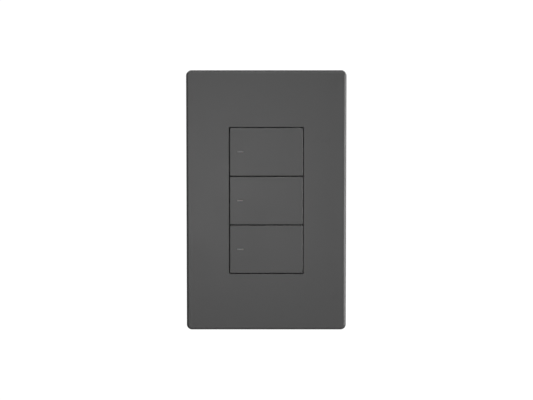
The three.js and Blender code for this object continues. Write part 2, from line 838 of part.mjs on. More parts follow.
// Slots in the back wall and the top wall.
function ventCutters() {
  const vents = [];
  for (let i = 0; i < 7; i++) {
    const x = (i - 3) * 3.6;
    vents.push(slab([1.4, 17.0, 0.69], HOUSING_BACK - 3, HOUSING_BACK + 1, 2, x, 20.2));
  }
  for (let i = 0; i < 6; i++) {
    const y = 24.0 + 2.4 * i;
    vents.push(box(-13, 13, y, y + 1.2, 31.5, 36));
  }
  return vents;
}

function rearHousing() {
  let housing = housingShell();
  for (const [, sideX, sideZ] of CORNERS) housing = addBoss(housing, sideX, sideZ);
  // ledges that carry the power board
  const ledgeBack = POWER_FRONT - CLEARANCE;
  for (const side of SIDES)
    for (const z of [-14, 14]) {
      const ledge = box(side * 16.9, side * WEB_END_X, 15.0, ledgeBack, z - 3, z + 3);
      housing = join(housing, ledge);
    }
  // shallow blank panel below the back vents
  const panel = slab([28.0, 22.0, 1.0], HOUSING_BACK - 0.35, HOUSING_BACK + 1, 2, 0, -4.6);
  housing = cut(housing, ...ventCutters(), panel);
  // grip ribs on each side
  for (const side of SIDES)
    for (const z of [-2, 4, 10, 16, 22])
      housing = join(housing, box(side * 20.0, side * 20.75, 12.0, 36.0, z - 0.5, z + 0.5));
  // seat for the terminal block at the bottom back corner
  return cut(housing, box(-25, 25, BLOCK_FRONT - 0.2, 45, -40, BLOCK_TOP + 0.2));
}

// ---------------------------------------------------------------- terminal block

// Bevel cutter for the block's back edges: [outward from the face, back from HOUSING_BACK].
const BEVEL = [[0.5, -1.7], [-1.7, 0.5], [1, 1]];

// Housing's section below BLOCK_TOP, with its two rounded bottom corners.
function blockOutline() {
  const half = HOUSING_W / 2;
  const radius = HOUSING_CORNER_R;
  const arcZ = BLOCK_BOTTOM + radius;
  const outline = new THREE.Shape();
  outline.moveTo(-half, BLOCK_TOP);
  outline.lineTo(-half, arcZ);
  outline.absarc(-half + radius, arcZ, radius, Math.PI, 1.5 * Math.PI, false);
  outline.lineTo(half - radius, BLOCK_BOTTOM);
  outline.absarc(half - radius, arcZ, radius, 1.5 * Math.PI, 2 * Math.PI, false);
  outline.lineTo(half, BLOCK_TOP);
  return outline;
}

// The flared mouth of one wire way, widening towards the block's bottom face.
function wireFlare(x) {
  const flare = new THREE.CylinderGeometry(1.7 * Math.SQRT2, 2.5 * Math.SQRT2, 1.5, 4);
  flare.rotateY(Math.PI / 4);
  flare.scale(1, 1, 0.72);
  // the axis turned from Y to Z, narrow end up
  flare.rotateX(Math.PI / 2);
  flare.translate(x, (BAR_BACK + CLAMP_OPEN) / 2, BLOCK_BOTTOM + 0.55);
  return solid(flare);
}

// Cutters for one terminal.
function terminalCutters(x) {
  const wayFront = BAR_BACK + CLEARANCE;
  const wayBack = CLAMP_OPEN - CLEARANCE;
  const wellR = 2.9;
  return [
    // chamber for the clamp, open to the back as a round well for the screwdriver
    box(x - 2.95, x + 2.95, BAR_FRONT - 0.1, 36.0, TERMINAL_Z - 3.5, TERMINAL_Z + 3.3),
    rod(wellR, 35.0, 45, 14, x, TERMINAL_Z),
    rod(wellR, HOUSING_BACK - 0.4, 45, 14, x, TERMINAL_Z, 7.4),
    // hole ahead of the chamber, in line with the screw
    rodHole(1.8, 12, x, TERMINAL_Z),
    // wire way from below
    box(x - 1.7, x + 1.7, wayFront, wayBack, BLOCK_BOTTOM - 1, TERMINAL_Z),
    wireFlare(x),
    // slot for the contact bar's tail
    box(x - 1.4, x + 1.4, 20, BAR_BACK + 0.15, TAIL_Z - 1.0, TAIL_Z + 0.9),
  ];
}

function terminalBlock() {
  const bottomBevel = BEVEL.map(([out, back]) => [HOUSING_BACK + back, BLOCK_BOTTOM - out]);
  let block = prism(blockOutline(), BLOCK_FRONT, HOUSING_BACK, 5);
  block = cut(block, bar(bottomBevel, -30, 30));
  for (const side of SIDES) {
    const sideBevel = BEVEL.map(([out, back]) => [
      side * (HOUSING_W / 2 + out),
      HOUSING_BACK + back,
    ]);
    block = cut(block, post(sideBevel, -40, -10));
  }
  // tongues that slide inside the housing's side walls
  for (const side of SIDES)
    block = join(block, box(side * 16.9, side * 18.4, 24.4, BLOCK_FRONT + 0.3, -31, -23));
  for (const x of TERMINAL_XS) block = cut(block, ...terminalCutters(x));
  return block;
}

// Bar with a tapped hole and a tail that runs forward through the power board.
function contactBar() {
  const tailHalf = 1.1;
  const tailTop = TAIL_Z + 0.6;
  const body = join(
    box(-2.7, 2.7, BAR_FRONT, BAR_BACK, -30.6, -24.6),
    box(-tailHalf, tailHalf, BAR_FRONT, BAR_BACK, -24.7, tailTop),
    box(-tailHalf, tailHalf, 19.4, BAR_BACK, TAIL_Z - 0.6, tailTop),
  );
  return cut(body, rodHole(1.6, 12, 0, TERMINAL_Z));
}

// Near-square plate, so that it can't turn in its chamber, with two grooves in its front.
function terminalClamp() {
  return cut(
    slab([5.3, 6.0, 0.5], 0, CLAMP_T, 1),
    rodHole(1.6, 12),
    ...[-2.25, 2.25].map((z) => brick([6, 0.6], -1, 0.18, 0, z)),
  );
}

const terminalScrew = () =>
  machineScrew({ headR: 2.5, headT: 2.0, shankR: 1.45, length: 7.9 });

// ---------------------------------------------------------------- assembly

function frontGroup() {
  const group = new THREE.Group();
  group.add(piece("cover_plate", coverPlate(), CHARCOAL));
  const button = buttonCap();
  const pipe = lightPipe();
  for (const [label, z] of BUTTONS) {
    group.add(piece("button_" + label, button, CHARCOAL, 0, 0, z));
    group.add(piece("light_pipe_" + label, pipe, LENS, INDICATOR_X, 0, z));
  }
  group.add(piece("sub_plate", subPlate(), FRAME_GREY));
  return group;
}

function addFasteners(group) {
  const mounting = mountingScrew();
  const retainer = screwRetainer();
  const countersunk = subPlateScrew();
  for (const [label, side] of ENDS) {
    const boxZ = side * BOX_SCREW_Z;
    const plateZ = side * PLATE_SCREW_Z;
    group.add(
      piece("mounting_screw_" + label, mounting, ZINC, 0, YOKE_FRONT - CLEARANCE, boxZ),
      piece("screw_retainer_" + label, retainer, WASHER, 0, YOKE_BACK + CLEARANCE, boxZ),
      piece("sub_plate_screw_" + label, countersunk, ZINC, 0, SUB_FRONT - 0.02, plateZ),
    );
  }
  group.add(earthScrew());
  const chassis = chassisScrew();
  const chassisY = FRAME_FRONT - CLEARANCE;
  for (const [label, sideX, sideZ] of CORNERS) {
    const x = sideX * CHASSIS_SCREW_X;
    const z = sideZ * CHASSIS_SCREW_Z;
    group.add(piece("chassis_screw_" + label, chassis, ZINC, x, chassisY, z));
  }
}

function deviceGroup() {
  const group = new THREE.Group();
  group.add(piece("key_frame", keyFrame(), FRAME_GREY));
  group.add(piece("yoke", yoke(), ZINC));
  addFasteners(group);
  group.add(piece("control_board", controlBoard(), BOARD_GREEN));
  const body = switchBody();
  const plunger = switchPlunger();
  const lamp = indicatorLamp();
  const bodyY = BOARD_FRONT - SWITCH_D - CLEARANCE;
  const lampY = BOARD_FRONT - LAMP_D - CLEARANCE;
  for (const [label, z] of BUTTONS)
    group.add(
      piece("switch_body_" + label, body, SWITCH_CASE, 0, bodyY, z),
      piece("switch_plunger_" + label, plunger, SWITCH_PLUNGER, 0, 5.1, z),
      piece("indicator_led_" + label, lamp, LED_WHITE, INDICATOR_X, lampY, z),
    );
  group.add(piece("radio_module", radioModule(), RADIO_CAN));
  group.add(piece("board_header", boardHeader(), HEADER_BLACK));
  return group;
}

function powerGroup() {
  const group = new THREE.Group();
  const y = POWER_PARTS_Y;
  group.add(piece("power_board", powerBoard(), BOARD_GREEN));
  const relaySolid = relay();
  for (let i = 0; i < 3; i++) {
    const x = (i - 1) * RELAY_PITCH;
    group.add(reversedPiece("relay_" + (i + 1), relaySolid, RELAY_CASE, x, y + RELAY_D, 14.5));
  }
  group.add(
    piece("transformer", transformer(), CORE),
    piece("smoothing_capacitor", smoothingCapacitor(), CAP_SLEEVE, 2.6, y, -6.2),
    piece("surge_varistor", surgeVaristor(), DISC_BLUE, 9.9, y, -6.4),
    piece("fusible_resistor", fusibleResistor(), FUSE_TAN, 15.2, y, -6.8),
    piece("rear_housing", rearHousing(), HOUSING_GREY),
    piece("terminal_block", terminalBlock(), BLOCK_BLACK),
  );
  const contact = contactBar();
  const clamp = terminalClamp();
  const screw = terminalScrew();
  const screwY = CLAMP_OPEN + CLAMP_T + CLEARANCE;
  TERMINAL_XS.forEach((x, i) => {
    const number = i + 1;
    group.add(
      piece("contact_bar_" + number, contact, BRASS, x),
      piece("terminal_clamp_" + number, clamp, NICKEL, x, CLAMP_OPEN, TERMINAL_Z),
      reversedPiece("terminal_screw_" + number, screw, NICKEL, x, screwY, TERMINAL_Z),
    );
  });
  return group;
}

const object = new THREE.Group();
object.add(frontGroup(), deviceGroup(), powerGroup());

export default object;
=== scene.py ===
"""A three-button wall control with a screwless cover plate.

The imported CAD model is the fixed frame: +X right, +Y into the wall, +Z up, in metres, with the
origin at the centre of the middle button's front face. "Front" is -Y and "back" is +Y. The
outer pieces are rebuilt here with moulded and stamped edges, screw threads and surface
textures, and ride on the CAD bodies. The parts sealed inside keep their CAD solids and get
their own materials.
"""

import math

import bmesh
import bpy
from mathutils import Matrix, Vector

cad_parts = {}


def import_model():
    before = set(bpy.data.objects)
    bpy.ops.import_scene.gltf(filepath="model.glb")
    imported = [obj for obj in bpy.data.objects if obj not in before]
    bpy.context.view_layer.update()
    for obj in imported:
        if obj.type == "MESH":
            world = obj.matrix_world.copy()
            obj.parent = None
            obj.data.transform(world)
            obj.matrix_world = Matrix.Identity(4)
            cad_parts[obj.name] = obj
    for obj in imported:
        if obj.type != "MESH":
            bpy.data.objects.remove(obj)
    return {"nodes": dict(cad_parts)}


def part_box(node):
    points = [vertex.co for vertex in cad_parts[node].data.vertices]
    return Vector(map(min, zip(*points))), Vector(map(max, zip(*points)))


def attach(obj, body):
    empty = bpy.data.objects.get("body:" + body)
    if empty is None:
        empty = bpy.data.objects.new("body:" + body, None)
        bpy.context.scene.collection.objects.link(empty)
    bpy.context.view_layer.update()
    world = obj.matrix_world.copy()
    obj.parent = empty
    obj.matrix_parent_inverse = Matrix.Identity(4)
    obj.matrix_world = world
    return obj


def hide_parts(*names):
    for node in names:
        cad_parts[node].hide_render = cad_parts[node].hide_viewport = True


CAD_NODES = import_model()["nodes"]
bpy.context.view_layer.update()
scene = bpy.context.scene


def limits(node):
    """A CAD node's lowest and highest corner, in millimetres."""
    low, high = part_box(node)
    return low * 1000, high * 1000


def face_size(node):
    """A CAD node's width and height, in millimetres."""
    low, high = limits(node)
    return high.x - low.x, high.z - low.z


def centre(node):
    """The x and z of a CAD node's middle, in millimetres."""
    low, high = limits(node)
    return (low.x + high.x) / 2, (low.z + high.z) / 2


# ---------------------------------------------------------------------------------------------
# Shared places, in millimetres
# ---------------------------------------------------------------------------------------------

cover_low, cover_high = limits("cover_plate")
FACE, WALL = cover_low.y, cover_high.y  # the cover's front face and the wall plane

DEVICE_SCREW_Z = 41.65  # the device screws and sub-plate screws lie this far above and below
PLATE_SCREW_Z = 48.4

EARTH_Y, EARTH_Z = 14.0, -15.0  # the earth screw's axis, which runs along X

CASE_W, CASE_H, CASE_CORNER = 40.6, 68.4, 2.4
CASE_FRONT, CASE_BACK = 8.1, 41.0
CASE_BACK_EDGE = 1.2  # the rounding round the back of the case and terminal block
BLOCK_TOP, BLOCK_FRONT = -21.6, 27.0  # the terminal block fills this corner of the case

TERMINALS = 5
TERMINAL_PITCH = 7.62
TERMINAL_Z = -27.6

# ---------------------------------------------------------------------------------------------
# Mesh toolkit. Everything is in millimetres until publish() scales it to metres. An outline is
# a list of (x, z) points, and edge radii are given for the front (y0) and back (y1) rims.
# ---------------------------------------------------------------------------------------------

WELD = 1e-4
MAX_FOLD = 0.02  # mm2, see folded()
OVERRUN = 0.6  # how far a hole cutter runs past each face


def linked(mesh, name="work"):
    ob = bpy.data.objects.new(name, mesh)
    scene.collection.objects.link(ob)
    return ob


def tidy(mesh, weld=0.0):
    """Turns the faces outwards, after joining vertices closer than weld."""
    bm = bmesh.new()
    bm.from_mesh(mesh)
    if weld:
        bmesh.ops.remove_doubles(bm, verts=bm.verts, dist=weld)
    bmesh.ops.recalc_face_normals(bm, faces=bm.faces)
    bm.to_mesh(mesh)
    bm.free()


def made(verts, faces):
    mesh = bpy.data.meshes.new("work")
    mesh.from_pydata(verts, [], faces)
    tidy(mesh, WELD)
    return linked(mesh)


def drop(ob):
    mesh = ob.data
    bpy.data.objects.remove(ob)
    if mesh.users == 0:
        bpy.data.meshes.remove(mesh)


def evaluated(ob):
    bpy.context.view_layer.update()
    return ob.evaluated_get(bpy.context.evaluated_depsgraph_get())


def folded(mesh):
    """The most area that one face of a mesh gains or loses when it is split into triangles.
    It is next to nothing unless a face with holes in it has been joined up wrongly."""
    mesh.calc_loop_triangles()
    total = [0.0] * len(mesh.polygons)
    for triangle in mesh.loop_triangles:
        total[triangle.polygon_index] += triangle.area
    return max(abs(total[face.index] - face.area) for face in mesh.polygons)


def boolean(body, tool, operation):
    """Applies one boolean and uses up the tool. The exact solver is the fallback."""
    modifier = body.modifiers.new("boolean", "BOOLEAN")
    modifier.operation = operation
    modifier.object = tool
    for solver in ("MANIFOLD", "EXACT"):
        modifier.solver = solver
        mesh = bpy.data.meshes.new_from_object(evaluated(body))
        if len(mesh.vertices) and folded(mesh) < MAX_FOLD:
            break
    old = body.data
    body.modifiers.clear()
    body.data = mesh
    bpy.data.meshes.remove(old)
    drop(tool)


def cut(body, *cutters):
    for cutter in cutters:
        boolean(body, cutter, "DIFFERENCE")


def join(body, *others):
    for other in others:
        boolean(body, other, "UNION")


def group(solids):
    """Solids that don't touch, as one object, so that one boolean does them all."""
    bm = bmesh.new()
    for ob in solids:
        bm.from_mesh(ob.data)
    mesh = bpy.data.meshes.new("group")
    bm.to_mesh(mesh)
    bm.free()
    for ob in solids:
        drop(ob)
    return linked(mesh)


def moved(ob, x=0.0, y=0.0, z=0.0, turn=None):
    """Turns a piece about the origin, then shifts it."""
    matrix = Matrix.Translation((x, y, z))
    if turn is not None:
        matrix = matrix @ turn
    ob.data.transform(matrix)
    return ob


def copy_of(ob):
    return linked(ob.data.copy())


def reordered(ob, order):
    for vertex in ob.data.vertices:
        vertex.co = tuple(vertex.co[axis] for axis in order)
    tidy(ob.data)
    return ob


def along_x(ob):
    """A solid drawn as (z, y) points and extruded in Y, turned to run along X."""
    return reordered(ob, (1, 2, 0))


def along_z(ob):
    """A solid drawn as (x, y) points and extruded in Y, turned to run along Z."""
    return reordered(ob, (0, 2, 1))


def mirrored(side, near, far):
    """The low and high ends of a stretch from near to far, on the + or - side."""
    return sorted((side * near, side * far))


def rounded_rect(width, height, radius, x=0.0, z=0.0, steps=8):
    """Rounded rectangle outline, counter-clockwise, with steps segments to a corner."""
    points = []
    for corner in range(4):
        corner_x = x + (1 if corner in (0, 3) else -1) * (width / 2 - radius)
        corner_z = z + (1 if corner < 2 else -1) * (height / 2 - radius)
        for i in range(steps + 1):
            angle = (corner + i / steps) * math.pi / 2
            points.append(
                (corner_x + radius * math.cos(angle), corner_z + radius * math.sin(angle))
            )
    return points


def circle(radius, x=0.0, z=0.0, steps=32):
    angles = [2 * math.pi * i / steps for i in range(steps)]
    return [(x + radius * math.cos(a), z + radius * math.sin(a)) for a in angles]


def filleted(points, radii, steps):
    """A polygon with its corners rounded, with one radius for each corner."""
    out = []
    for i, radius in enumerate(radii):
        before, corner = Vector(points[i - 1]), Vector(points[i])
        after = Vector(points[(i + 1) % len(points)])
        back, ahead = (before - corner).normalized(), (after - corner).normalized()
        half = back.angle(ahead) / 2
        shortest = min((before - corner).length, (after - corner).length)
        reach = min(radius / math.tan(half), 0.45 * shortest)
        fitted = reach * math.tan(half)
        middle = corner + (back + ahead).normalized() * (fitted / math.sin(half))
        start, end = corner + back * reach, corner + ahead * reach
        first = math.atan2(start.y - middle.y, start.x - middle.x)
        sweep = math.atan2(end.y - middle.y, end.x - middle.x) - first
        while sweep > math.pi:
            sweep -= 2 * math.pi
        while sweep < -math.pi:
            sweep += 2 * math.pi
        for k in range(steps + 1):
            angle = first + sweep * k / steps
            out.append(
                (middle.x + fitted * math.cos(angle), middle.y + fitted * math.sin(angle))
            )
    return out


def counter_clockwise(outline):
    doubled_area = sum(
        outline[i - 1][0] * outline[i][1] - outline[i][0] * outline[i - 1][1]
        for i in range(len(outline))
    )
    return outline[::-1] if doubled_area < 0 else outline


def offset(outline, distance):
    """A counter-clockwise outline grown by distance (shrunk if it is negative)."""
    out = []
    for i, point in enumerate(outline):
        before, here = Vector(outline[i - 1]), Vector(point)
        after = Vector(outline[(i + 1) % len(outline)])
        edge_in, edge_out = (here - before).normalized(), (after - here).normalized()
        normal = Vector((edge_in.y, -edge_in.x))
        mitre = normal + Vector((edge_out.y, -edge_out.x))
        mitre = mitre.normalized() if mitre.length > 1e-6 else normal
        stretch = 1 / max(0.35, mitre.dot(normal))
        out.append(
            (here.x + mitre.x * distance * stretch, here.y + mitre.y * distance * stretch)
        )
    return out


def loft(rings):
    """rings: [(y, outline), ...] with equal point counts. A closed skin."""
    n = len(rings[0][1])
    verts = [(x, y, z) for y, outline in rings for x, z in outline]
    faces = []
    for k in range(len(rings) - 1):
        for i in range(n):
            a, b = k * n + i, k * n + (i + 1) % n
            faces.append((a, b, b + n, a + n))
    faces.append(tuple(range(n)))
    faces.append(tuple(range((len(rings) - 1) * n, len(rings) * n)))
    return made(verts, faces)


def loft_rects(stations, steps, y=0.0, x=0.0, z=0.0):
    """A skin over (depth from y, width, height, corner radius) stations."""
    return loft(
        [
            (y + depth, rounded_rect(width, height, radius, x, z, steps))
            for depth, width, height, radius in stations
        ]
    )


def prism(outline, y0, y1):
    return loft([(y0, outline), (y1, outline)])


def arc(radius, steps, start=0.0):
    """(depth, inset) pairs along a rounded edge. A start angle above zero leaves a crease
    where the edge meets the face."""
    pairs = []
    for i in range(steps + 1):
        angle = start + (math.pi / 2 - start) * i / steps
        pairs.append((radius * (math.cos(start) - math.cos(angle)), radius * (1 - math.sin(angle))))
    return pairs


def rim(outline, y, radius, steps, inward, grow):
    """Rings of a rounded rim at y, from the face inwards. None for a sharp rim."""
    if radius <= 0:
        return []
    return [
        (y + inward * depth, offset(outline, grow * inset)) for depth, inset in arc(radius, steps)
    ]


def plate(outline, y0, y1, front_r=0.15, back_r=None, steps=3):
    """An outline extruded from y0 to y1, with both its rims rounded."""
    back_r = front_r if back_r is None else back_r
    outline = counter_clockwise(outline)
    front = rim(outline, y0, front_r, steps, 1, -1) or [(y0, outline)]
    back = rim(outline, y1, back_r, steps, -1, -1) or [(y1, outline)]
    return loft(front + back[::-1])


def hole(outline, y0, y1, front_r=0.15, back_r=None, steps=3):
    """A cutter through a wall from y0 to y1 that leaves rounded lips."""
    back_r = front_r if back_r is None else back_r
    outline = counter_clockwise(outline)
    front = [(y0 - OVERRUN, offset(outline, front_r))] + rim(outline, y0, front_r, steps, 1, 1)
    back = [(y1 + OVERRUN, offset(outline, back_r))] + rim(outline, y1, back_r, steps, -1, 1)
    return loft(front + back[::-1])


def rounded_box(width, height, corner, edge, y0, y1, back_r, steps):
    """A rounded rectangle extruded from y0 to y1. edge is the front edge's (depth, inset)
    pairs, and corner is the radius of the outline's corners."""

    def ring(y, inset):
        outline = rounded_rect(
            width - 2 * inset, height - 2 * inset, corner - inset, steps=steps
        )
        return y, outline

    front = [ring(y0 + depth, inset) for depth, inset in edge]
    back = [ring(y1 - depth, inset) for depth, inset in arc(back_r, 2)]
    return loft(front + back[::-1])


def cuboid(x0, x1, y0, y1, z0, z1):
    verts = [(x, y, z) for x in (x0, x1) for y in (y0, y1) for z in (z0, z1)]
    faces = [
        (0, 1, 3, 2), (4, 6, 7, 5), (0, 4, 5, 1),
        (2, 3, 7, 6), (0, 2, 6, 4), (1, 5, 7, 3),
    ]  # fmt: skip
    return made(verts, faces)


def skin(rings, steps):
    """Faces between rings of vertex numbers. A ring of one vertex is a point on the axis."""
    faces = []
    for a, b in zip(rings, rings[1:]):
        for i in range(steps):
            j = (i + 1) % steps
            if len(a) == 1:
                faces.append((a[0], b[i], b[j]))
            elif len(b) == 1:
                faces.append((a[i], a[j], b[0]))
            else:
                faces.append((a[i], a[j], b[j], b[i]))
    return faces


def turned(profile, x=0.0, z=0.0, steps=40):
    """A solid of revolution about Y from (radius, y) points that start and end on the axis."""
    verts, rings = [], []
    for radius, y in profile:
        ring = [(x, y, z)]
        if radius:
            ring = [(px, y, pz) for px, pz in circle(radius, x, z, steps)]
        rings.append(range(len(verts), len(verts) + len(ring)))
        verts += ring
    return made(verts, skin(rings, steps))


def rod(radius, y0, y1, x=0.0, z=0.0, steps=32, edge=0.0):
    """A cylinder along Y."""
    if edge > 0:
        rounding = arc(edge, 3)
        front = [(radius - inset, y0 + depth) for depth, inset in rounding]
        back = [(radius - inset, y1 - depth) for depth, inset in rounding]
    else:
        front, back = [(radius, y0)], [(radius, y1)]
    return turned([(0, y0)] + front + back[::-1] + [(0, y1)], x, z, steps)


Y_TO_X = Matrix.Rotation(-math.pi / 2, 4, "Z")


def axle(radius, x0, x1, y, z, steps, edge=0.0):
    """A cylinder along X."""
    return moved(rod(radius, x0, x1, steps=steps, edge=edge), 0, y, z, Y_TO_X)


def threaded(head, y0, y1, major, minor, pitch, tip, steps=28, per_pitch=7):
    """A screw along +Y. head is (radius, y) points from the axis to the shank's start at y0; the
    thread is a real helix from y0 to y1, right-handed, with a tip chamfered over its length.
    major and minor are the thread's radii."""
    angles = [2 * math.pi * i / steps for i in range(steps)]
    tip_radius = minor * 0.72

    def thread_radius(y, angle):
        phase = (y / pitch + angle / (2 * math.pi)) % 1.0
        # 0.12 and 0.76 leave flats at the root and crest, with sloping flanks between
        flank = min(1.0, max(0.0, (abs(2 * phase - 1) - 0.12) / 0.76))
        run_in = min(1.0, (y - y0) / (0.8 * pitch))
        run_out = min(1.0, (y1 - y) / tip)
        return min(
            minor + (major - minor) * flank * run_in,
            tip_radius + (major - tip_radius) * run_out,
        )

    stations = [(y, [radius] * steps) for radius, y in head[1:]]
    count = round((y1 - y0) / pitch * per_pitch)
    for k in range(count + 1):
        y = y0 + (y1 - y0) * k / count
        stations.append((y, [thread_radius(y, angle) for angle in angles]))

    verts, rings = [(0, head[0][1], 0)], [[0]]
    for y, radii in stations:
        rings.append(range(len(verts), len(verts) + steps))
        verts += [(r * math.cos(a), y, r * math.sin(a)) for r, a in zip(radii, angles)]
    rings.append([len(verts)])
    verts.append((0, y1 + 0.05, 0))
    return made(verts, skin(rings, steps))


def recess(head_radius, top, depth, slot=True, cross=True):
    """A cutter for a slot, a cross or both, open towards -Y at y = top."""
    thick, arm = head_radius * 0.15, head_radius * 0.6
    parts = []
    if slot:
        reach = head_radius * 1.3
        parts.append(cuboid(-reach, reach, top - 1, top + depth * 0.62, -thick, thick))
    if cross:
        # depth, width, height, corner radius
        stations = [
            (-1, 2 * arm * 1.3, 2.5 * thick, 0.04),
            (depth * 0.3, 2 * arm * 0.95, 2.3 * thick, 0.04),
            (depth, 2 * arm * 0.42, 1.4 * thick, 0.04),
        ]
        parts.append(loft_rects(stations, 1, y=top))
        quarter = Matrix.Rotation(math.pi / 2, 4, "Y")
        parts.append(moved(loft_rects(stations, 1, y=top), turn=quarter))
    join(*parts)
    return parts[0]


def publish(ob, name, body, node, material, slot, angle=38.0, dissolve=True):
    """Names the finished piece, scales it to metres, shades it, and fixes it to its body in
    place of a CAD node. Flat neighbours are merged unless that folds a face."""
    work = ob.data
    for merge in (dissolve, False):
        bm = bmesh.new()
        bm.from_mesh(work)
        bmesh.ops.remove_doubles(bm, verts=bm.verts, dist=2 * WELD)
        if merge:
            bmesh.ops.dissolve_limit(
                bm,
                angle_limit=math.radians(0.4),
                verts=bm.verts,
                edges=bm.edges,
                use_dissolve_boundaries=False,
            )
        bmesh.ops.recalc_face_normals(bm, faces=bm.faces)
        mesh = bpy.data.meshes.new(name)
        bm.to_mesh(mesh)
        bm.free()
        if folded(mesh) < MAX_FOLD:
            break
    ob.data = mesh
    bpy.data.meshes.remove(work)
    mesh.transform(Matrix.Scale(0.001, 4))
    ob.name = name
    mesh.materials.clear()  # also clears the faces' material numbers
    mesh.materials.append(material)
    mesh.shade_smooth()
    mesh.set_sharp_from_angle(angle=math.radians(angle))
    normals = ob.modifiers.new("normals", "WEIGHTED_NORMAL")
    normals.keep_sharp = True
    normals.weight = 80
    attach(ob, body)
    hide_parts(node)


# ---------------------------------------------------------------------------------------------
# Materials. All are node-based, in object space, with sizes in millimetres.
# ---------------------------------------------------------------------------------------------


def feed(tree, socket, value):
    """Sets a socket to a number or an RGB colour, or links another socket to it."""
    if isinstance(value, (int, float)):
        socket.default_value = value
    elif isinstance(value, tuple):
        socket.default_value = (*value, 1)
    else:
        tree.links.new(value, socket)


class Shader:
    """A material's node tree, with a Principled surface. mm is the position in millimetres."""

    def __init__(self, name):
        self.material = bpy.data.materials.new(name)
        self.material.use_nodes = True
        self.tree = self.material.node_tree
        self.tree.nodes.clear()
        self.out = self.add("ShaderNodeOutputMaterial")
        self.bsdf = self.add("ShaderNodeBsdfPrincipled")
        self.link(self.bsdf.outputs["BSDF"], self.out.inputs["Surface"])
        coords = self.add("ShaderNodeTexCoord")
        scale = self.add("ShaderNodeMapping")
        scale.inputs["Scale"].default_value = (1000, 1000, 1000)
        self.link(coords.outputs["Object"], scale.inputs["Vector"])
        self.mm = scale.outputs["Vector"]

    def add(self, kind, **props):
        node = self.tree.nodes.new(kind)
        for key, value in props.items():
            setattr(node, key, value)
        return node

    def link(self, source, target):
        self.tree.links.new(source, target)

    def stretch(self, scale):
        node = self.add("ShaderNodeMapping")
        node.inputs["Scale"].default_value = scale
        self.link(self.mm, node.inputs["Vector"])
        return node.outputs["Vector"]

    def noise(self, size_mm, detail=3.0, roughness=0.55, vector=None):
        node = self.add("ShaderNodeTexNoise")
        node.inputs["Scale"].default_value = 1.0 / size_mm
        node.inputs["Detail"].default_value = detail
        node.inputs["Roughness"].default_value = roughness
        self.link(vector or self.mm, node.inputs["Vector"])
        return node.outputs["Fac"]

    def cells(self, size_mm, output="Distance"):
        node = self.add("ShaderNodeTexVoronoi", feature="F1")
        node.inputs["Scale"].default_value = 1.0 / size_mm
        self.link(self.mm, node.inputs["Vector"])
        return node.outputs[output]

    def remap(self, value, over=(0.3, 0.7), to=(0.0, 1.0), smooth=False):
        """Maps the range over onto the range to."""
        node = self.add("ShaderNodeMapRange")
        if smooth:
            node.interpolation_type = "SMOOTHSTEP"
        for key, number in zip(("From Min", "From Max", "To Min", "To Max"), over + to):
            node.inputs[key].default_value = number
        self.link(value, node.inputs["Value"])
        return node.outputs["Result"]

    def math(self, operation, a, b):
        node = self.add("ShaderNodeMath", operation=operation)
        for socket, value in zip(node.inputs, (a, b)):
            feed(self.tree, socket, value)
        return node.outputs[0]

    def mix(self, factor, a, b):
        """Blends colour a into colour b. Sockets 6 and 7 are the node's colour inputs."""
        node = self.add("ShaderNodeMix", data_type="RGBA")
        for key, value in (("Factor", factor), (6, a), (7, b)):
            feed(self.tree, node.inputs[key], value)
        return node.outputs[2]

    def bump(self, height, depth_mm, strength, normal=None):
        node = self.add("ShaderNodeBump")
        node.inputs["Strength"].default_value = strength
        node.inputs["Distance"].default_value = depth_mm * 0.001
        self.link(height, node.inputs["Height"])
        if normal is not None:
            self.link(normal, node.inputs["Normal"])
        return node.outputs["Normal"]

    def edges(self, radius_mm):
        """1 on edges and 0 on flats, from how far the rounded normal leans away."""
        bevel = self.add("ShaderNodeBevel", samples=4)
        bevel.inputs["Radius"].default_value = radius_mm * 0.001
        geometry = self.add("ShaderNodeNewGeometry")
        dot = self.add("ShaderNodeVectorMath", operation="DOT_PRODUCT")
        self.link(bevel.outputs["Normal"], dot.inputs[0])
        self.link(geometry.outputs["Normal"], dot.inputs[1])
        return self.remap(dot.outputs["Value"], over=(0.99, 0.80))

    def set(self, **values):
        """Feeds the Principled inputs, named with underscores for spaces."""
        for key, value in values.items():
            feed(self.tree, self.bsdf.inputs[key.replace("_", " ")], value)
        return self.material


def shade(color, factor):
    return tuple(min(1.0, channel * factor) for channel in color)


def moulded(
    name, color, *, rough, grain_mm, vary, edge, depth_mm=0.012, ior=1.48, flow_mm=0.0
):
    """Injection-moulded plastic from a spark-eroded mould: a fine even grain, slight cloudiness
    in colour and gloss, edges that are a little polished, and a painted highlight that makes
    the edges paler. flow_mm is the depth of a broad waviness."""
    t = Shader(name)
    fine = t.noise(size_mm=grain_mm, detail=2.0, roughness=0.6)
    pits = t.cells(size_mm=grain_mm * 2.1)
    cloud = t.noise(size_mm=17.0, roughness=0.5)
    col = t.mix(t.remap(cloud), shade(color, 1 - vary), shade(color, 1 + vary))
    col = t.mix(t.remap(fine, over=(0.35, 0.65), to=(0.0, 0.35)), col, shade(color, 1.10))
    gloss = t.remap(cloud, over=(0.25, 0.75), to=(rough - 0.03, rough + 0.04))
    gloss = t.math("ADD", gloss, t.remap(fine, to=(-0.03, 0.03)))
    # painted highlight: edges are painted paler; they are also smoother from polish
    edge_sheen = t.edges(radius_mm=0.35)
    col = t.mix(t.math("MULTIPLY", edge_sheen, edge), col, shade(color, 1.8))
    gloss = t.math("SUBTRACT", gloss, t.math("MULTIPLY", edge_sheen, 0.12))
    # six parts grain to four parts pits
    height = t.math("ADD", t.math("MULTIPLY", fine, 0.6), t.math("MULTIPLY", pits, 0.4))
    normal = t.bump(height, depth_mm=depth_mm, strength=0.8)
    if flow_mm > 0:
        waves = t.noise(size_mm=60.0, detail=1.0, roughness=0.4)
        normal = t.bump(waves, depth_mm=flow_mm, strength=0.5, normal=normal)
    return t.set(Base_Color=col, Roughness=gloss, IOR=ior, Normal=normal)


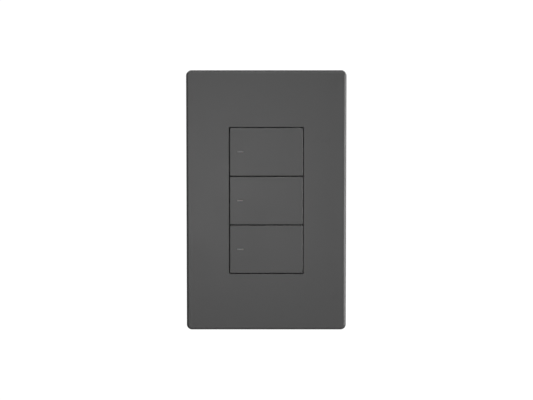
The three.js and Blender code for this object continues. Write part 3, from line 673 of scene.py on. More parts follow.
def plated(name, color, *, rough, tint, brushed=(1.0, 1.0, 0.06), scratch=0.35):
    """Plated steel or brass: faint crystalline mottling tinted in patches, and fine draw lines
    along the axis where brushed is small."""
    t = Shader(name)
    mottle = t.noise(size_mm=2.2, detail=4.0, roughness=0.6)
    flakes = t.cells(size_mm=1.3, output="Color")
    lines = t.noise(size_mm=0.35, roughness=0.7, vector=t.stretch(brushed))
    base = t.mix(t.remap(mottle), shade(color, 0.82), shade(color, 1.08))
    patches = t.math("MULTIPLY", t.remap(mottle, over=(0.52, 0.75)), 0.35)
    base = t.mix(patches, base, tuple(a * b for a, b in zip(color, tint)))
    # painted highlight: every edge is painted paler
    edge_sheen = t.edges(radius_mm=0.25)
    base = t.mix(t.math("MULTIPLY", edge_sheen, 0.5), base, shade(color, 1.25))
    gloss = t.remap(lines, to=(rough - 0.07, rough + 0.10))
    grey = t.add("ShaderNodeRGBToBW")
    t.link(flakes, grey.inputs[0])
    gloss = t.math(
        "ADD", gloss, t.remap(grey.outputs[0], over=(0.2, 0.8), to=(-0.03, 0.03))
    )
    normal = t.bump(lines, depth_mm=0.006, strength=scratch)
    normal = t.bump(mottle, depth_mm=0.012, strength=0.3, normal=normal)
    return t.set(Base_Color=base, Metallic=1.0, Roughness=gloss, Normal=normal)


def board(name):
    """Green solder mask with the weave and copper areas showing faintly through."""
    t = Shader(name)
    weave = t.noise(size_mm=0.5, detail=2.0, roughness=0.5)
    brick = t.add("ShaderNodeTexBrick")
    for key, value in (
        ("Scale", 1.0),
        ("Brick Width", 5.1),
        ("Row Height", 2.3),
        ("Mortar Size", 0.22),
        ("Mortar Smooth", 0.1),
    ):
        brick.inputs[key].default_value = value
    turn = t.add("ShaderNodeMapping")
    turn.inputs["Rotation"].default_value = (math.pi / 2, 0, 0)
    t.link(t.mm, turn.inputs["Vector"])
    t.link(turn.outputs["Vector"], brick.inputs["Vector"])
    gaps = brick.outputs["Fac"]
    green, copper, strands = (0.010, 0.085, 0.036), (0.020, 0.150, 0.062), (0.014, 0.11, 0.05)
    col = t.mix(t.remap(gaps, over=(0.0, 1.0)), copper, green)
    col = t.mix(t.remap(weave, to=(0.0, 0.3)), col, strands)
    normal = t.bump(t.math("SUBTRACT", 1.0, gaps), depth_mm=0.035, strength=0.6)
    normal = t.bump(weave, depth_mm=0.01, strength=0.3, normal=normal)
    return t.set(
        Base_Color=col,
        Roughness=t.remap(weave, to=(0.24, 0.34)),
        Normal=normal,
        Coat_Weight=0.25,
    )


def milky(name):
    """Diffusing polycarbonate, unlit."""
    t = Shader(name)
    cloud = t.noise(size_mm=0.8, roughness=0.5)
    return t.set(
        Base_Color=t.mix(t.remap(cloud), (0.205, 0.207, 0.212), (0.235, 0.236, 0.24)),
        Roughness=t.remap(cloud, to=(0.30, 0.42)),
        IOR=1.58,
        Subsurface_Weight=0.25,
        Subsurface_Scale=0.0005,
        Normal=t.bump(t.noise(size_mm=0.12, detail=2.0), depth_mm=0.003, strength=0.5),
    )


def pressed_fibre(name):
    t = Shader(name)
    strand = t.noise(
        size_mm=0.25, detail=4.0, roughness=0.7, vector=t.stretch((1.0, 1.0, 3.5))
    )
    return t.set(
        Base_Color=t.mix(t.remap(strand), (0.30, 0.17, 0.075), (0.56, 0.37, 0.19)),
        Roughness=0.85,
        Normal=t.bump(strand, depth_mm=0.05, strength=0.8),
    )


def taped(name):
    """Yellow tape wrapped round a core, with its lap lines."""
    t = Shader(name)
    wave = t.add(
        "ShaderNodeTexWave", wave_type="BANDS", bands_direction="Y", wave_profile="SAW"
    )
    wave.inputs["Scale"].default_value = 0.055
    wave.inputs["Distortion"].default_value = 0.6
    t.link(t.mm, wave.inputs["Vector"])
    laps = wave.outputs["Fac"]
    return t.set(
        Base_Color=t.mix(laps, (0.66, 0.42, 0.03), (0.80, 0.58, 0.07)),
        Roughness=t.remap(t.noise(size_mm=1.2), to=(0.32, 0.5)),
        Normal=t.bump(laps, depth_mm=0.06, strength=0.7),
    )


def lacquered(name, color, *, rough):
    """Dipped lacquer: a soft orange-peel surface."""
    t = Shader(name)
    peel = t.noise(size_mm=0.9, detail=2.0, roughness=0.5)
    return t.set(
        Base_Color=t.mix(t.remap(peel), shade(color, 0.82), shade(color, 1.15)),
        Roughness=t.remap(peel, to=(rough - 0.06, rough + 0.06)),
        Coat_Weight=0.3,
        Normal=t.bump(peel, depth_mm=0.05, strength=0.6),
    )


CHARCOAL = moulded(
    "charcoal_matte", (0.090, 0.090, 0.090),
    rough=0.31, grain_mm=0.17, depth_mm=0.010, vary=0.012, edge=0.10, flow_mm=0.02,
)  # fmt: skip
LENS = milky("milky_lens")
FRAME = moulded(
    "dark_frame", (0.052, 0.053, 0.055),
    rough=0.55, grain_mm=0.3, depth_mm=0.02, vary=0.08, edge=0.25,
)  # fmt: skip
HOUSING = moulded(
    "dark_housing", (0.058, 0.060, 0.063),
    rough=0.5, grain_mm=0.28, depth_mm=0.03, vary=0.06, edge=0.3, flow_mm=0.03,
)  # fmt: skip
BLOCK = moulded(
    "black_block", (0.020, 0.021, 0.023),
    rough=0.33, grain_mm=0.5, depth_mm=0.008, vary=0.1, edge=0.35, ior=1.55,
)  # fmt: skip
ZINC = plated("zinc_steel", (0.56, 0.58, 0.60), rough=0.30, tint=(0.96, 1.0, 1.06))
STAMPED = plated(
    "zinc_steel_stamped", (0.52, 0.54, 0.56),
    rough=0.34, brushed=(0.9, 0.9, 0.05), tint=(0.95, 1.0, 1.06), scratch=0.5,
)  # fmt: skip
NICKEL = plated(
    "nickel_steel", (0.60, 0.57, 0.52),
    rough=0.25, brushed=(1.0, 0.08, 1.0), tint=(1.05, 1.0, 0.92),
)  # fmt: skip
GREEN = plated("green_steel", (0.045, 0.26, 0.10), rough=0.33, tint=(1.4, 1.05, 0.7))
BRASS = plated(
    "brass", (0.74, 0.47, 0.15), rough=0.27, brushed=(1.0, 0.1, 1.0), tint=(0.9, 0.8, 0.7)
)
FIBRE = pressed_fibre("fibre")
BOARD = board("board_green")
PLUNGER = moulded(
    "black_plunger", (0.02, 0.02, 0.022), rough=0.42, grain_mm=0.2, vary=0.1, edge=0.3
)
LAMP = lacquered("lamp_white", (0.74, 0.72, 0.62), rough=0.25)
RELAY = moulded(
    "relay_blue", (0.014, 0.08, 0.26),
    rough=0.3, grain_mm=0.4, depth_mm=0.01, vary=0.08, edge=0.3,
)  # fmt: skip
TAPE = taped("winding_yellow")
SLEEVE = lacquered("sleeve_dark", (0.017, 0.019, 0.025), rough=0.28)
DISC = lacquered("disc_blue", (0.017, 0.12, 0.39), rough=0.33)
BROWN = lacquered("resistor_brown", (0.19, 0.05, 0.023), rough=0.42)

# ---------------------------------------------------------------------------------------------
# Cover plate
# ---------------------------------------------------------------------------------------------

# snap barb section: (distance out from the cavity's wall, y)
BARB = [(0.3, 6.7), (-0.15, 6.7), (-0.75, 7.05), (-0.75, 7.25), (-0.05, 7.9), (0.3, 7.9)]


def build_cover():
    width, height = face_size("cover_plate")
    window_w, window_h = 34.0, 67.0
    side_wall = 1.8
    cavity_w, cavity_h = width - 2 * side_wall, height - 2 * side_wall
    inner_face = FACE + 2.2
    root = inner_face - 0.4  # ribs and collar start inside the front wall
    collar_wall, collar_back = 1.4, 4.5
    rib_back, rib_half = 3.8, 0.5

    front_edge = arc(1.52, 10, start=math.radians(20))
    shell = rounded_box(width, height, 2.4, front_edge, FACE, WALL, back_r=0.18, steps=14)
    cavity = rounded_rect(cavity_w, cavity_h, 1.0, steps=5)
    cut(shell, plate(cavity, inner_face, WALL + 1, front_r=0.35, back_r=0))
    collar = rounded_rect(
        window_w + 2 * collar_wall, window_h + 2 * collar_wall, 1.2, steps=4
    )
    join(shell, prism(collar, root, collar_back))

    # ribs above and below the window, then to its left and right
    upright = [
        cuboid(x - rib_half, x + rib_half, root, rib_back, *mirrored(side, 36, 57.6))
        for side in (-1, 1)
        for x in (-26, -13, 13, 26)
    ]
    level = [
        cuboid(*mirrored(side, 18, 34.9), root, rib_back, z - rib_half, z + rib_half)
        for side in (-1, 1)
        for z in (-30, -15, 0, 15, 30)
    ]
    join(shell, group(upright))
    join(shell, group(level))

    def barb(side, wall):
        return [(side * (wall + out), y) for out, y in BARB]

    barbs = []
    for side in (-1, 1):
        for z in (-40, 40):
            barbs.append(along_z(prism(barb(side, cavity_w / 2), z - 4.5, z + 4.5)))
        barbs.append(along_x(prism(barb(side, cavity_h / 2), -6, 6)))
    join(shell, group(barbs))

    window = rounded_rect(window_w, window_h, 0.5, steps=6)
    cut(shell, hole(window, FACE, collar_back, front_r=0.08, back_r=0.15))
    # notch in the bottom wall, open to the back
    notch = rounded_rect(8.0, 6.0, 0.5, 0, -59.9, steps=4)
    cut(shell, plate(notch, 6.6, WALL + 1, front_r=0.2, back_r=0, steps=2))
    publish(
        shell, "cover_shell", "cover", "cover_plate", CHARCOAL, "charcoal_matte", angle=17
    )


build_cover()

# ---------------------------------------------------------------------------------------------
# Buttons and light pipes
# ---------------------------------------------------------------------------------------------

KEY_BACK = 4.3
KEY_INNER = 1.6  # the back of the key's front wall
KEY_ROOT = KEY_INNER - 0.3  # where parts on its back start, inside the wall

# hook section: (distance above the hook's line, y)
HOOK = [
    (0.5, KEY_ROOT), (0.5, 7.6), (-0.5, 7.6), (-1.3, 6.75),
    (-1.3, 6.6), (-0.5, 6.6), (-0.5, KEY_ROOT),
]  # fmt: skip

# crowned bar in the key's face: y, width, height, corner radius
LIGHT_BAR = [
    (0.02, 2.66, 0.36, 0.17),
    (0.04, 2.86, 0.56, 0.27),
    (0.09, 2.96, 0.66, 0.32),
    (0.18, 3.0, 0.7, 0.34),
    (2.0, 3.0, 0.7, 0.34),
]


def key_cap(light_x):
    """A hollow key, centred on the origin, with hinge pins near its top and hooks near its
    bottom."""
    width, height = face_size("button_middle")
    wall = 1.2
    hinge_y, hinge_z = 4.6, height / 2 - 3.2
    hook_z = -height / 2 + 2.2

    cap = rounded_box(width, height, 0.5, arc(0.26, 6), 0.0, KEY_BACK, back_r=0.1, steps=5)
    hollow = rounded_rect(width - 2 * wall, height - 2 * wall, 0.5, steps=3)
    cut(cap, plate(hollow, KEY_INNER, KEY_BACK + 1, front_r=0.3, back_r=0, steps=2))
    join(
        cap,
        cuboid(-15.6, 15.6, KEY_ROOT, 2.6, -5.4, -4.6),
        cuboid(-15.6, 15.6, KEY_ROOT, 2.6, 3.6, 4.4),
        rod(1.5, KEY_ROOT, 5.05),
    )
    for side in (-1, 1):
        x = side * 7.5
        hook = prism([(hook_z + up, y) for up, y in HOOK], side * 9.5 - 1.5, side * 9.5 + 1.5)
        join(
            cap,
            cuboid(x - 1.2, x + 1.2, KEY_ROOT, hinge_y, hinge_z - 1.1, hinge_z + 1.1),
            axle(1.1, x - 1.2, x + 1.2, hinge_y, hinge_z, steps=28, edge=0.1),
            axle(0.9, x - 2.5, x + 2.5, hinge_y, hinge_z, steps=28, edge=0.15),
            along_x(hook),
        )
    slot = rounded_rect(3.1, 0.8, 0.38, light_x, 0, steps=6)
    cut(cap, hole(slot, 0.0, KEY_INNER, front_r=0.06, back_r=0.0, steps=2))
    return cap


def light_pipe():
    """A bar in the key's face, a flange behind it, and a stem towards the lamp."""
    pipe = loft_rects(LIGHT_BAR, 6)
    flange = rounded_rect(4.6, 2.2, 0.3, steps=3)
    stem = rounded_rect(2.4, 1.6, 0.3, steps=3)
    join(
        pipe,
        plate(flange, KEY_INNER + 0.05, 2.5, front_r=0.08),
        plate(stem, 2.3, 8.1, front_r=0.0, back_r=0.12, steps=2),
    )
    return pipe


def build_buttons():
    light_x, _ = centre("light_pipe_middle")
    cap = key_cap(light_x)
    pipe = light_pipe()
    for label in ("top", "middle", "bottom"):
        _, z = centre("button_" + label)
        body = "key_" + label
        publish(
            moved(copy_of(cap), 0, 0, z),
            "key_cap_" + label, body, "button_" + label,
            CHARCOAL, "charcoal_matte", angle=30,
        )  # fmt: skip
        publish(
            moved(copy_of(pipe), light_x, 0, z),
            "light_bar_" + label, body, "light_pipe_" + label,
            LENS, "milky_lens", angle=40,
        )  # fmt: skip
    drop(cap)
    drop(pipe)


build_buttons()

# ---------------------------------------------------------------------------------------------
# Sub plate
# ---------------------------------------------------------------------------------------------


def build_sub_plate():
    width, height = face_size("sub_plate")
    front, back = 4.8, 6.5
    rim_front, rim_wall = 4.2, 1.2  # the rim stands in from the edge by its own thickness
    rib_front = 4.45

    body = plate(rounded_rect(width, height, 2.2), front, back, front_r=0.25, back_r=0.15)
    outer = rounded_rect(width - 2 * rim_wall, height - 2 * rim_wall, 1.6, steps=6)
    inner = rounded_rect(width - 4 * rim_wall, height - 4 * rim_wall, 1.0, steps=6)
    raised = plate(outer, rim_front, front + 0.3, front_r=0.15, back_r=0, steps=2)
    cut(raised, hole(inner, rim_front, front + 0.5, front_r=0.15, back_r=0, steps=2))
    join(body, raised)

    # the middle window, then the device-screw openings and lightening windows
    cutters = [hole(rounded_rect(39.4, 72.4, 1.5, steps=6), front, back, 0.2)]
    countersink = [  # radius, y
        (0, front - 0.6), (3.6, front - 0.6), (3.6, front + 0.02),
        (1.9, back - 0.1), (1.9, back + 1), (0, back + 1),
    ]  # fmt: skip
    sinks = []
    for side in (-1, 1):
        opening = rounded_rect(12.5, 9.0, 4.4, 0, side * DEVICE_SCREW_Z, steps=10)
        cutters.append(hole(opening, front, back, 0.2))
        sinks.append(turned(countersink, 0, side * PLATE_SCREW_Z))
        for z in (-18, 18):
            window = rounded_rect(6.0, 26.0, 1.5, side * 26.5, z, steps=6)
            cutters.append(hole(window, front, back))
        for x in (-21, 21):
            window = rounded_rect(14.0, 8.0, 1.5, x, side * 45.5, steps=6)
            cutters.append(hole(window, front, back))
    cut(body, group(cutters), group(sinks))

    # moulded ribs on the front, between the windows
    ribs = []
    for side in (-1, 1):
        for x, half_length, levels in ((26.5, 5.5, (-1.5, 1.5)), (27, 5, (34.0, -34.0))):
            for z in levels:
                x0, x1 = side * x - half_length, side * x + half_length
                ribs.append(cuboid(x0, x1, rib_front, front + 0.2, z - 0.4, z + 0.4))
    join(body, group(ribs))
    publish(body, "snap_frame", "device", "sub_plate", FRAME, "dark_frame", angle=35)


build_sub_plate()

# ---------------------------------------------------------------------------------------------
# Yoke
# ---------------------------------------------------------------------------------------------

YOKE_HALF = 53.2

# right half of the outline, from the bottom up: x, z, corner radius
YOKE_RIGHT = [
    (16.5, -YOKE_HALF, 0.6),
    (16.5, -YOKE_HALF + 6.6, 0.6),
    (11.5, -YOKE_HALF + 7.6, 0.5),
    (11.5, -38.5, 0.8),
    (20.4, -37.2, 1.0),
    (20.4, 37.2, 1.0),
    (11.5, 38.5, 0.8),
    (11.5, YOKE_HALF - 7.6, 0.5),
    (16.5, YOKE_HALF - 6.6, 0.6),
    (16.5, YOKE_HALF, 0.6),
]

# earth tab section, bent back from the left side: x, y
EARTH_TAB = [
    (-20.2, 6.7), (-22.6, 6.7), (-22.6, 19.0), (-21.2, 19.0), (-21.2, 8.0), (-20.2, 8.0),
]  # fmt: skip


def build_yoke():
    front, back, edge = 6.6, 8.0, 0.12
    neck_z = 44.2  # small holes and score lines cross the ears' necks here
    score = [(7.72, 5.2, 0.05, 0.02), (8.5, 5.2, 0.75, 0.02)]  # y, width, height, corner

    corners = YOKE_RIGHT + [(-x, z, radius) for x, z, radius in reversed(YOKE_RIGHT)]
    outline = filleted([(x, z) for x, z, _ in corners], [radius for _, _, radius in corners], 6)
    yoke = plate(outline, front, back, front_r=edge, back_r=0.18)
    pads = [
        plate(
            rounded_rect(7.6, 5.0, 0.8, x * 11.9, side * 49.8, steps=6),
            front + 0.2, WALL, front_r=0.0, back_r=0.12, steps=2,
        )
        for side in (-1, 1)
        for x in (-1, 1)
    ]  # fmt: skip
    join(yoke, group(pads))

    cutters = [hole(rounded_rect(36.0, 66.0, 1.5, steps=6), front, back, edge)]
    for side in (-1, 1):
        slot = rounded_rect(8.6, 4.2, 2.09, 0, side * DEVICE_SCREW_Z, steps=10)
        cutters.append(hole(slot, front, back, edge))
        cutters.append(hole(circle(1.75, 0, side * PLATE_SCREW_Z, 36), front, back, edge))
        for x in (-11.5, 11.5):
            cutters.append(rod(0.9, 5, 10, x, side * neck_z, steps=24))
        # V-shaped score lines, on the back
        for x in (-7.0, 7.0):
            cutters.append(moved(loft_rects(score, 1), x, 0, side * neck_z))
    cut(yoke, group(cutters))

    section = filleted(EARTH_TAB, [0.5] * len(EARTH_TAB), 4)
    join(yoke, along_z(plate(section, -20.0, -10.0, front_r=0.12, steps=2)))
    cut(yoke, axle(1.75, -25, -20.9, EARTH_Y, EARTH_Z, steps=32))
    publish(yoke, "mounting_yoke", "device", "yoke", STAMPED, "zinc_steel", angle=35)


build_yoke()

# ---------------------------------------------------------------------------------------------
# Screws and washers
# ---------------------------------------------------------------------------------------------

MACHINE_PITCH = 0.794
SCREW_SHADING = {"angle": 50, "dissolve": False}  # merging flats would spoil the thread


def pan_head(radius, height, flat=0.5):
    """(radius, y) points of a pan head whose underside is at y = 0. flat is the flat top's
    share of the radius."""
    shares = [  # of the radius, of the height
        (0, 1), (flat, 1), (0.72, 0.93), (0.88, 0.76),
        (0.97, 0.5), (1, 0.28), (1, 0.06), (0.985, 0),
    ]  # fmt: skip
    return [(radius * across, -height * up) for across, up in shares]


def pan_screw(radius, height, end, major, minor, pitch, tip, drive, flat=0.5, **thread):
    """A pan-head screw along +Y. drive is the arguments of its recess."""
    screw = threaded(
        pan_head(radius, height, flat) + [(major, 0)],
        0.02, end, major, minor, pitch, tip, **thread,
    )  # fmt: skip
    cut(screw, recess(radius, -height, **drive))
    return screw


def square_washer():
    thick = 0.8
    washer = plate(rounded_rect(8.8, 8.8, 0.6, steps=4), 0, thick, 0.12)
    cut(washer, hole(circle(1.8), 0, thick, 0.08))
    return washer


def countersunk_screw():
    head = [(0, 0), (3.0, 0), (3.14, 0.06), (3.12, 0.25), (1.62, 1.6)]  # radius, y
    screw = threaded(
        head, 1.62, 8.3, major=1.62, minor=1.28, pitch=MACHINE_PITCH, tip=0.9
    )
    cut(screw, recess(3.1, 0.0, 1.1, slot=False))
    return screw


def build_mounting_screws():
    device = pan_screw(
        radius=3.45, height=2.2, end=25.3, major=1.7, minor=1.33,
        pitch=MACHINE_PITCH, tip=1.3, drive={"depth": 1.5},
    )  # fmt: skip
    washer = square_washer()
    countersunk = countersunk_screw()
    for label, side in (("top", 1), ("bottom", -1)):
        publish(
            moved(copy_of(device), 0, 6.55, side * DEVICE_SCREW_Z),
            "device_screw_" + label, "device_screw_" + label, "mounting_screw_" + label,
            ZINC, "zinc_steel", **SCREW_SHADING,
        )  # fmt: skip
        publish(
            moved(copy_of(washer), 0, 8.05, side * DEVICE_SCREW_Z),
            "fibre_washer_" + label, "retainer_" + label, "screw_retainer_" + label,
            FIBRE, "fibre",
        )  # fmt: skip
        publish(
            moved(copy_of(countersunk), 0, 4.78, side * PLATE_SCREW_Z),
            "countersunk_screw_" + label, "device", "sub_plate_screw_" + label,
            ZINC, "zinc_steel", **SCREW_SHADING,
        )  # fmt: skip
    for ob in (device, washer, countersunk):
        drop(ob)


def build_earth_screw():
    """A wide slotted head on the earth tab, at the left."""
    screw = pan_screw(
        radius=3.2, height=1.9, flat=0.6, end=1.7, major=1.66, minor=1.35,
        pitch=MACHINE_PITCH, tip=0.4, drive={"depth": 1.0, "cross": False},
    )  # fmt: skip
    moved(screw, -22.65, EARTH_Y, EARTH_Z, Y_TO_X)
    publish(
        screw, "earth_terminal_screw", "device", "earth_screw",
        GREEN, "green_steel", **SCREW_SHADING,
    )  # fmt: skip


def build_terminal_screws():
    """The terminal screws' heads face the back."""
    screw = pan_screw(
        radius=2.5, height=2.0, flat=0.62, end=7.85, major=1.45, minor=1.14,
        pitch=0.5, tip=0.7, drive={"depth": 1.2}, steps=24, per_pitch=6,
    )  # fmt: skip
    about_face = Matrix.Rotation(math.pi, 4, "X")
    for i in range(1, TERMINALS + 1):
        x, _ = centre("terminal_screw_%d" % i)
        publish(
            moved(copy_of(screw), x, 32.75, TERMINAL_Z, about_face),
            "clamp_screw_%d" % i, "clamp_screw_%d" % i, "terminal_screw_%d" % i,
            NICKEL, "nickel_steel", **SCREW_SHADING,
        )  # fmt: skip
    drop(screw)


build_mounting_screws()
build_earth_screw()
build_terminal_screws()

# ---------------------------------------------------------------------------------------------
# Rear housing and terminal block
# ---------------------------------------------------------------------------------------------


def case_shell(wall):
    rings = [(CASE_FRONT, rounded_rect(CASE_W, CASE_H, CASE_CORNER))]
    rings += [
        (
            CASE_BACK - depth,
            rounded_rect(CASE_W - 2 * inset, CASE_H - 2 * inset, CASE_CORNER - inset),
        )
        for depth, inset in arc(CASE_BACK_EDGE, 6)
    ][::-1]
    shell = loft(rings)
    cavity = rounded_rect(CASE_W - 2 * wall, CASE_H - 2 * wall, 1.2, steps=4)
    cut(shell, prism(cavity, CASE_FRONT - 1, CASE_BACK - wall))
    return shell


def add_bosses(shell):
    """Four bored bosses webbed to the side walls, and four ledges on those walls."""
    boss_x, boss_z, boss_back = 12.8, 28.5, 19.6
    inside = 19.0  # webs and ledges end within the side walls
    bosses, webs, bores = [], [], []
    for side in (-1, 1):
        for z in (-boss_z, boss_z):
            x = side * boss_x
            bosses.append(rod(2.6, 8.9, boss_back, x, z, steps=28))
            x0, x1 = mirrored(side, boss_x + 1.5, inside)
            webs.append(cuboid(x0, x1, 9.4, boss_back, z - 0.7, z + 0.7))
            bores.append(rod(1.6, 5, 18.2, x, z, steps=24))
    join(shell, group(bosses))
    join(shell, group(webs))
    cut(shell, group(bores))
    ledges = [
        cuboid(*mirrored(side, 16.9, inside), 15.0, 19.95, z - 3, z + 3)
        for side in (-1, 1)
        for z in (-14, 14)
    ]
    join(shell, group(ledges))


def cut_vents(shell, wall):
    """Seven upright slots in the back wall and six across the top wall, with rounded lips."""
    back_slots = [
        hole(
            rounded_rect(1.4, 17.0, 0.69, (i - 3) * 3.6, 20.2, steps=6),
            CASE_BACK - wall, CASE_BACK, front_r=0.0, back_r=0.25,
        )
        for i in range(7)
    ]  # fmt: skip
    cut(shell, group(back_slots))
    top = CASE_H / 2
    top_slots = [
        along_z(
            hole(
                rounded_rect(26.0, 1.2, 0.55, 0, 24.0 + 2.4 * i + 0.6, steps=4),
                top - wall, top, front_r=0.0, back_r=0.2, steps=2,
            )
        )
        for i in range(6)
    ]  # fmt: skip
    cut(shell, group(top_slots))


def build_housing():
    wall = 1.6
    shell = case_shell(wall)
    add_bosses(shell)
    cut_vents(shell, wall)
    # shallow blank panel in the back, below the vents
    panel = rounded_rect(28.0, 22.0, 1.0, 0, -4.6, steps=6)
    cut(shell, plate(panel, CASE_BACK - 0.35, CASE_BACK + 1, front_r=0.12, back_r=0, steps=2))
    # grip ribs down each side, rounded at the ends
    ribs = []
    for side in (-1, 1):
        x0, x1 = mirrored(side, 19.9, 20.75)
        for z in (-2, 4, 10, 16, 22):
            section = rounded_rect(x1 - x0, 1.0, 0.3, (x0 + x1) / 2, z, steps=3)
            ribs.append(plate(section, 12.0, 36.0, 0.27, steps=2))
    join(shell, group(ribs))
    # parting line: a fine groove round the sides
    groove = 0.12
    ring = prism(rounded_rect(CASE_W + 3, CASE_H + 3, 3.0), 10.9, 11.15)
    core = rounded_rect(CASE_W - 2 * groove, CASE_H - 2 * groove, 2.3)
    cut(ring, prism(core, 10.0, 12.0))
    cut(shell, ring)
    # room for the terminal block
    cut(shell, cuboid(-25, 25, BLOCK_FRONT - 0.2, 45, -40, BLOCK_TOP + 0.2))
    publish(shell, "rear_case", "device", "rear_housing", HOUSING, "dark_housing", angle=32)


build_housing()

# rounded rim of a screw well: radius, distance behind the block's back face
WELL_RIM = [
    (0, -0.55), (2.9, -0.55), (2.98, -0.3), (3.2, -0.1), (3.45, 0), (3.6, 1), (0, 1),
]  # fmt: skip

# wire mouth: distance above the block's bottom, width, depth, corner radius
WIRE_MOUTH = [
    (-0.2, 5.3, 3.6, 0.8),
    (0.02, 5.1, 3.4, 0.7),
    (0.5, 4.1, 2.6, 0.5),
    (1.3, 3.4, 2.02, 0.2),
]

# dividing groove: distance behind the block's back face, width, height, corner radius
DIVIDER = [(-0.35, 0.2, 8.0, 0.08), (0.4, 0.95, 8.8, 0.4)]


def build_block():
    bottom, half_w, radius = -CASE_H / 2, CASE_W / 2, CASE_CORNER
    outline = [(-half_w, BLOCK_TOP)]
    for side, start in ((-1, math.pi), (1, 1.5 * math.pi)):
        for k in range(9):
            angle = start + k / 8 * math.pi / 2
            x = side * (half_w - radius) + radius * math.cos(angle)
            outline.append((x, bottom + radius + radius * math.sin(angle)))
    outline.append((half_w, BLOCK_TOP))
    body = plate(
        outline, BLOCK_FRONT, CASE_BACK, front_r=0.1, back_r=CASE_BACK_EDGE, steps=6
    )
    # put the top edge back square against the housing
    square_x = half_w - CASE_BACK_EDGE
    square = cuboid(
        -square_x, square_x, BLOCK_FRONT + 0.2, CASE_BACK - 0.02, BLOCK_TOP - 1.6, BLOCK_TOP
    )
    join(body, square)
    # a tongue at each side, forward of the block
    for side in (-1, 1):
        x0, x1 = mirrored(side, 16.9, 18.4)
        join(body, cuboid(x0, x1, 24.4, BLOCK_FRONT + 0.3, -31, -23))

    centres = [(i - 2) * TERMINAL_PITCH for i in range(TERMINALS)]
    rim_profile = [(r, CASE_BACK + behind) for r, behind in WELL_RIM]
    cut(
        body,
        # chambers
        group([cuboid(x - 2.95, x + 2.95, 28.3, 36.0, -31.1, -24.3) for x in centres]),
        # screw wells and their rims, open to the back
        group([rod(2.9, 35.0, 45, x, TERMINAL_Z, steps=40) for x in centres]),
        group([turned(rim_profile, x, TERMINAL_Z) for x in centres]),
        # round holes through the front wall
        group([rod(1.8, 20, 30, x, TERMINAL_Z, steps=28) for x in centres]),
        # wire ways from the bottom, and their mouths
        group(
            [cuboid(x - 1.7, x + 1.7, 29.65, 31.65, bottom - 1, TERMINAL_Z) for x in centres]
        ),
        group([along_z(loft_rects(WIRE_MOUTH, 5, y=bottom, x=x, z=30.65)) for x in centres]),
        # square openings through the front wall, above the round holes
        group([cuboid(x - 1.4, x + 1.4, 20, 29.75, -24.9, -23.0) for x in centres]),
        # shallow grooves between the terminals, on the back
        group(
            [
                moved(loft_rects(DIVIDER, 2, y=CASE_BACK), (i - 1.5) * TERMINAL_PITCH, 0, TERMINAL_Z)
                for i in range(TERMINALS - 1)
            ]
        ),
    )
    publish(body, "terminal_body", "device", "terminal_block", BLOCK, "black_block", angle=32)


build_block()

# ---------------------------------------------------------------------------------------------
# CAD nodes that stay: softened edges and their own materials
# ---------------------------------------------------------------------------------------------

# materials by the start of the node's name
KEPT_MATERIALS = {
    "key_frame": FRAME,
    "chassis_screw": ZINC,
    "control_board": BOARD,
    "power_board": BOARD,
    "switch_body": ZINC,
    "switch_plunger": PLUNGER,
    "indicator_led": LAMP,
    "radio_module": ZINC,
    "board_header": BLOCK,
    "relay": RELAY,
    "transformer": TAPE,
    "smoothing_capacitor": SLEEVE,
    "surge_varistor": DISC,
    "fusible_resistor": BROWN,
    "contact_bar": BRASS,
    "terminal_clamp": NICKEL,
}
KEPT_MAX_FOLD = 1e-8  # m2, see folded()


def soften(ob):
    """Welds, flattens and bevels a CAD solid, in metres. If a face ends up folded, the
    flattening is taken off, and then the bevel."""
    weld = ob.modifiers.new("weld", "WELD")
    weld.merge_threshold = 2e-6
    flat = ob.modifiers.new("flat", "DECIMATE")
    flat.decimate_type = "DISSOLVE"
    flat.angle_limit = math.radians(0.5)
    bevel = ob.modifiers.new("edges", "BEVEL")
    bevel.limit_method = "ANGLE"
    bevel.angle_limit = math.radians(50)
    bevel.width = 0.00008
    bevel.segments = 2
    bevel.harden_normals = False
    for suspect in (flat, bevel):
        if folded(evaluated(ob).to_mesh()) < KEPT_MAX_FOLD:
            break
        ob.modifiers.remove(suspect)


for name, ob in CAD_NODES.items():
    if ob.hide_render:
        continue
    material = next(m for start, m in KEPT_MATERIALS.items() if name.startswith(start))
    ob.data.materials.clear()
    ob.data.materials.append(material)
    soften(ob)

# ---------------------------------------------------------------------------------------------
# Floor, light and camera, in metres
# ---------------------------------------------------------------------------------------------

FLOOR_Z = -0.19
FLOOR_RADII = (0.15, 0.3, 0.6, 1.2, 3.0)
FLOOR_STEPS = 96
WHITE_GLOW = 1.05  # strength of the plain white that the camera sees
WORLD_FRONT, WORLD_BACK = 0.05, 0.45  # strength of the studio light in front and behind
CAM_DISTANCE, CAM_ELEVATION = 0.573, math.radians(3.2)
CAM_AIM = Vector((0.00009, FACE * 0.001, 0.00032))


